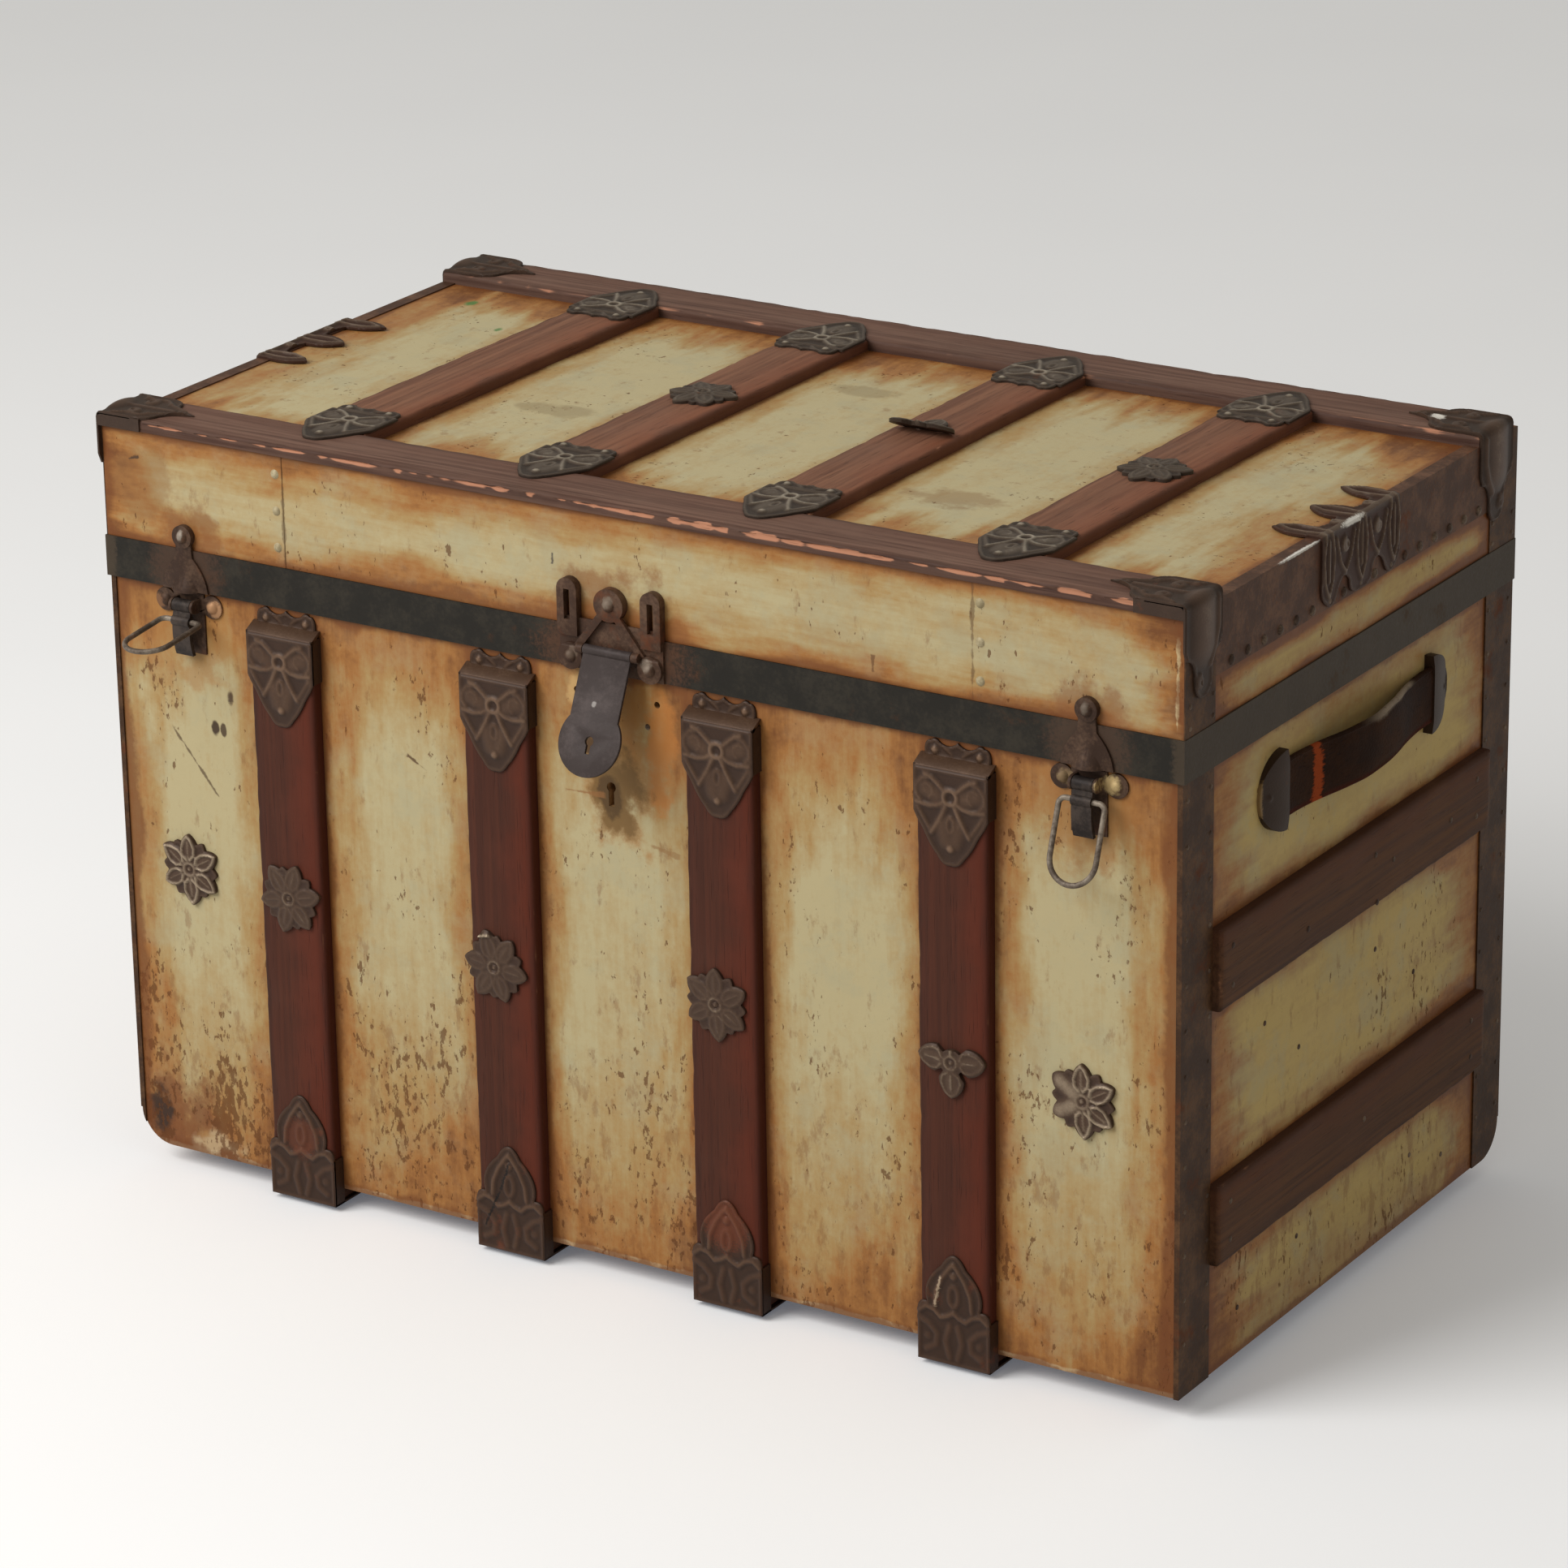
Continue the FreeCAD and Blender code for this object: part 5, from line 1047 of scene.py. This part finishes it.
# Lid clasps and rosettes: the case's clasp laid flat over each joint of the lid's slats, its tip outwards,
# and the same flowers on three cross slats, one of them torn in half and bent up.
lid_middle = -0.0008
front_tip, back_tip = -0.208, 0.1936
torn_edge, torn_slope = -6 * mm, 0.5
lid_iron = pressed_iron("lid_clasp_iron", (58, 46, 38), (90, 77, 65), (172, 160, 142), 0.05)
clasps = new_stampings()
for x in lid_slat_middles:
    for tip, up in ((front_tip, 1), (back_tip, -1)):
        add_copy(clasps, tongue, stand((x, tip, lid_slat_top), (0, up, 0), upwards))
        add_copy(clasps, tab, stand((x, tip + up * tongue_length, lid_slat_top), (0, up, 0), upwards))
finish_stampings("lid_slat_clasps", clasps, lid_iron, "lid")
torn_flower = half_flower.copy()
for vert in torn_flower.vertices:
    vert.co.z += torn_slope * max(0.0, vert.co.y - torn_edge)
flowers = new_stampings()
for flower, x, degrees in ((dull_flower, -0.079, 10), (torn_flower, 0.091, 180), (dull_flower, 0.261, 20)):
    add_copy(flowers, flower, flower_turn((x, lid_middle, lid_slat_top), (0, 1, 0), upwards, degrees))
finish_stampings("lid_rosettes", flowers, lid_iron, "lid")

# Band, corner caps and end ornaments: a flat steel band round the rim, and stamped iron bent over the
# corners and the middle of both end edges, nailed through the covering.
cap_length, cap_drop, cap_width = 62 * mm, 62 * mm, 47 * mm
cap_middle, lip_length = -0.2054, 34 * mm
slat_frame_middle = -0.0072
cap_outline = (
    (0.0, 0.0), (0.14, 0.015, 0.22, 0.07), (0.27, 0.18, 0.44, 0.225), (0.50, 0.28), (0.50, 0.71),
    (0.44, 0.79, 0.30, 0.83), (0.12, 0.88, 0.0, 1.0),
)
ornament_width, ornament_reach, ornament_drop = 105 * mm, 37 * mm, 46 * mm
ornament_fold = 0.5279
ornament_top = (
    (0.50, 0.0), (0.50, 0.20), (0.51, 0.62, 0.44, 1.00), (0.36, 0.70, 0.33, 0.30), (0.22, 0.22, 0.11, 0.28),
    (0.09, 0.64, 0.0, 0.94),
)
ornament_apron = (
    (0.0, 0.0), (0.11, 0.03, 0.15, 0.22), (0.22, 0.32, 0.29, 0.20), (0.36, 0.00, 0.44, 0.04),
    (0.50, 0.20, 0.50, 0.42), (0.50, 1.00),
)
band_marks = drawn(
    spot, front,
    ((-3, 436.6), (66, 30), (92, 62, 44), 0.7),
    ((-340.9, 436.6), (34, 30), (84, 60, 46), 0.6),
    ((340.9, 436.6), (34, 30), (84, 62, 48), 0.6),
)
band_marks += drawn(spot, (0,), ((407,), (10,), (80, 67, 53), 0.6), ((-407,), (10,), (80, 67, 53), 0.6))
band_steel = scuffed_metal("band_steel", (33, 30, 25), (52, 47, 39), (78, 50, 32), 0.1, 0.1, band_marks)
dress(band_steel, "lid_band")


def fold_over(mesh, radius):
    """Bends a pressed sheet at its line v = 0: v > 0 lies on top, and v < 0 hangs down the end.

    The bent sheet has u along its x, the way outwards along its y and up along its z.
    """
    quarter = radius * math.pi / 2
    for vert in mesh.vertices:
        u, v, w = vert.co
        if v > quarter / 2:
            vert.co = (u, quarter / 2 - radius - v, w)
        elif v < -quarter / 2:
            vert.co = (u, w, v + quarter / 2 - radius)
        else:
            angle = (v + quarter / 2) / radius
            vert.co = (u, (radius + w) * math.cos(angle) - radius, (radius + w) * math.sin(angle) - radius)


def over_edge(side, along, y, z):
    """The place of a bent sheet on an end edge; along is the way that its u runs."""
    return Matrix(((0, side, 0, side * slat_end), (along, 0, 0, y), (0, 0, 1, z), (0, 0, 0, 1)))


def joined_outline(lower, drop, upper, reach, width):
    """The outline of a sheet from two half outlines that meet at its fold."""
    below = half_outline(lower, width, drop, -drop)
    above = half_outline(upper, width, reach)
    right = [point for point in below if point[0] >= 0] + [point for point in above if point[0] >= 0][1:]
    return right + [(-u, v) for u, v in reversed(right) if u > 0]


cap_beads = ridges([[(0, -6), (0, -28)]], 17.0, 2.6)
cap_beads += ridges([[(17, -4), (17, -20), (13, -32), (7, -42)]], 3.2, 2.2)
cap_beads += ridges([curl(-5, -51, 4.5, 1.2, 0.2, 1.4), [(0, 8), (0, 46)]], 1.6, 1.6)
cap_beads += ridges(both(
    [(20, 8), (15, 18), (17, 28), (9, 38), (2, 54)],
    curl(10, 20, 4.8, 1.4, 0.0, 1.5),
), 1.6, 1.6)
cap_studs = studs((-12, 33, 2.3, 1.8), (11, 35, 2.3, 1.8), (16, 12, 2.3, 1.8))
cap_studs += studs((-8, -8, 2.0, 1.6), (0, 50, 2.0, 1.6))
corner_edge = half_outline(cap_outline, cap_width, cap_length + cap_drop, -cap_drop)
corner_cap = press(corner_edge, cap_beads, cap_studs, (1.2, 1.2, 0.9), 5.0, pitch=1.2 * mm, supple=True)
fold_over(corner_cap, 2.2 * mm)
caps = new_stampings()
for side in (-1, 1):
    lip = sorted((side * slat_end, side * (slat_end - lip_length)))
    for end in (1, -1):
        y = slat_frame_middle + end * (cap_middle - slat_frame_middle)
        edge = slat_frame_middle + end * (front_slat_face - slat_frame_middle)
        add_copy(caps, corner_cap, over_edge(side, end, y, lid_slat_top))
        outer = sorted((edge, edge - end * sheet))
        add_block(caps, (lip[0], outer[0], lid_foot), (lip[1], outer[1], lid_slat_top + sheet / 2))
cap_glint = drawn(spot, solid, ((366, 188, 537.5), (6, 5, 4), (226, 220, 210), 0.85))
corner_iron = pressed_iron("corner_cap_iron", (60, 44, 34), (92, 70, 56), (160, 140, 118), 0.1, cap_glint)
finish_stampings("lid_corner_caps", caps, corner_iron, "lid")

leaf = [(-3, 0), (-5, 12), (-5, 22), (0, 33), (5, 22), (5, 12), (3, 0)]
drop_leaf = [(-4, 0), (-7, -14), (-5, -30), (0, -40), (5, -30), (7, -14), (4, 0)]
festoon = [(-12, -4), (-7, -20), (0, -29), (7, -20), (12, -4)]
ornament_lines = [[(-50, 1), (50, 1)]]
for middle in (-44, 0, 44):
    for line in (leaf, drop_leaf, [(0, -3), (0, -30)]):
        ornament_lines.append([(middle + u, v) for u, v in line])
for middle in (-22, 22):
    ornament_lines.append([(middle + u, v) for u, v in festoon])
    ornament_lines.append(curl(middle, -11, 5.0, 1.4, 0.25, 1.5))
    ornament_lines.append(curl(middle, 5, 4.0, 1.2, 0.75, 1.3))
ornament_edge = joined_outline(ornament_apron, ornament_drop, ornament_top, ornament_reach, ornament_width)
ornament_studs = studs((-22, -11, 1.6, 2.0), (22, -11, 1.6, 2.0))
ornament = press(ornament_edge, ridges(ornament_lines, 1.7, 2.0), ornament_studs, (1.0, 1.1, 0.9), 2.2,
                 pitch=1.2 * mm, supple=True)
fold_over(ornament, 0.8 * mm)
ornament_glint = drawn(spot, solid, ((407.5, -12, 529), (3, 17, 2.6), (236, 232, 224), 0.9))
ornament_iron = pressed_iron("ornament_iron", (62, 38, 28), (84, 64, 51), (130, 112, 96), 0.12,
                             ornament_glint)
ornaments = new_stampings()
for side in (-1, 1):
    add_copy(ornaments, ornament, over_edge(side, 1, lid_middle, ornament_fold))
finish_stampings("lid_end_ornaments", ornaments, ornament_iron, "lid")

# Hasp: an iron plate over the band with two loops and a braced ring, and a plain steel tongue that swings
# on a pin in the loops.
hasp_marks = drawn(
    spot, front,
    ((25, 434), (5, 5), (136, 122, 108), 0.8),
    ((-31, 434), (4.5, 4.5), (112, 94, 80), 0.7),
    ((-3, 471.5), (4.5, 4.5), (126, 112, 98), 0.8),
)
tongue_marks = drawn(spot, front, ((-5, 408), (2, 2), (156, 150, 146), 0.8))
hasp_iron = scuffed_metal("hasp_iron", (64, 44, 33), (100, 76, 60), (102, 58, 36), 0.15, 0.25, hasp_marks)
tongue_steel = scuffed_metal("tongue_steel", (62, 53, 51), (82, 72, 70), (84, 64, 54), 0.15, 0.0,
                             tongue_marks)
soften("hasp_plate", hasp_iron, "lid", 0.3 * mm)
soften("hasp", tongue_steel, "hasp", 0.35 * mm)
dress(hasp_iron, "hasp_pin")

# Studio: a pale floor that takes the trunk's soft shadow, one broad lamp high in front on the left,
# a pale sky all round, and the camera where the picture was taken. The floor throws back little light.
floor_half = 30.0
lamp_direction, lamp_distance = Vector((-0.40, -0.66, 0.64)).normalized(), 4.0
trunk_middle = Vector((0, 0, 0.25))
floor_mesh = bmesh.new()
bmesh.ops.create_grid(floor_mesh, x_segments=1, y_segments=1, size=floor_half)
floor_finish, place = new_finish("pale_floor")
cloud = place.grain(3.0, 2.0)
seen = place.node("ShaderNodeLightPath", {}, {}, "Is Camera Ray")
for ray in ("Is Glossy Ray", "Is Transmission Ray"):
    seen = seen + place.node("ShaderNodeLightPath", {}, {}, ray)
seen = seen.rise(0.0, 1.0)
pale = cloud.mix(tone(248, 247, 246), tone(252, 251, 250))
lay_on(floor_finish, place, cloud * 0.0, seen.mix(tone(190, 186, 180), pale), 0.9, 0.5,
       **{"Emission Color": seen.mix(tone(0, 0, 0), tone(86, 90, 98)), "Emission Strength": 1.0})
mesh = bpy.data.meshes.new("floor")
floor_mesh.to_mesh(mesh)
floor_mesh.free()
mesh.materials.append(floor_finish)
floor = bpy.data.objects.new("floor", mesh)
bpy.context.scene.collection.objects.link(floor)

scene = bpy.context.scene
scene.view_settings.view_transform = "Standard"
sky = bpy.data.worlds.new("studio")
scene.world = sky
sky.use_nodes = True
background = sky.node_tree.nodes["Background"]
background.inputs["Color"].default_value = (1.0, 0.965, 0.87, 1.0)
background.inputs["Strength"].default_value = 0.40

lamp_data = bpy.data.lights.new("key", "AREA")
lamp_data.energy = 122.0
lamp_data.size = 2.4
lamp = bpy.data.objects.new("key", lamp_data)
lamp.location = trunk_middle + lamp_direction * lamp_distance
lamp.rotation_mode = "QUATERNION"
lamp.rotation_quaternion = lamp_direction.to_track_quat("Z", "Y")
scene.collection.objects.link(lamp)

camera_data = bpy.data.cameras.new("camera")
camera_data.lens = 140.80
camera_data.sensor_width = 36.0
camera = bpy.data.objects.new("camera", camera_data)
camera.matrix_world = Matrix((
    (0.84661, -0.17252, 0.50348, 2.0505),
    (0.53200, 0.30170, -0.79118, -3.2554),
    (-0.01540, 0.93767, 0.34720, 1.7006),
    (0.0, 0.0, 0.0, 1.0),
))
scene.collection.objects.link(camera)
scene.camera = camera
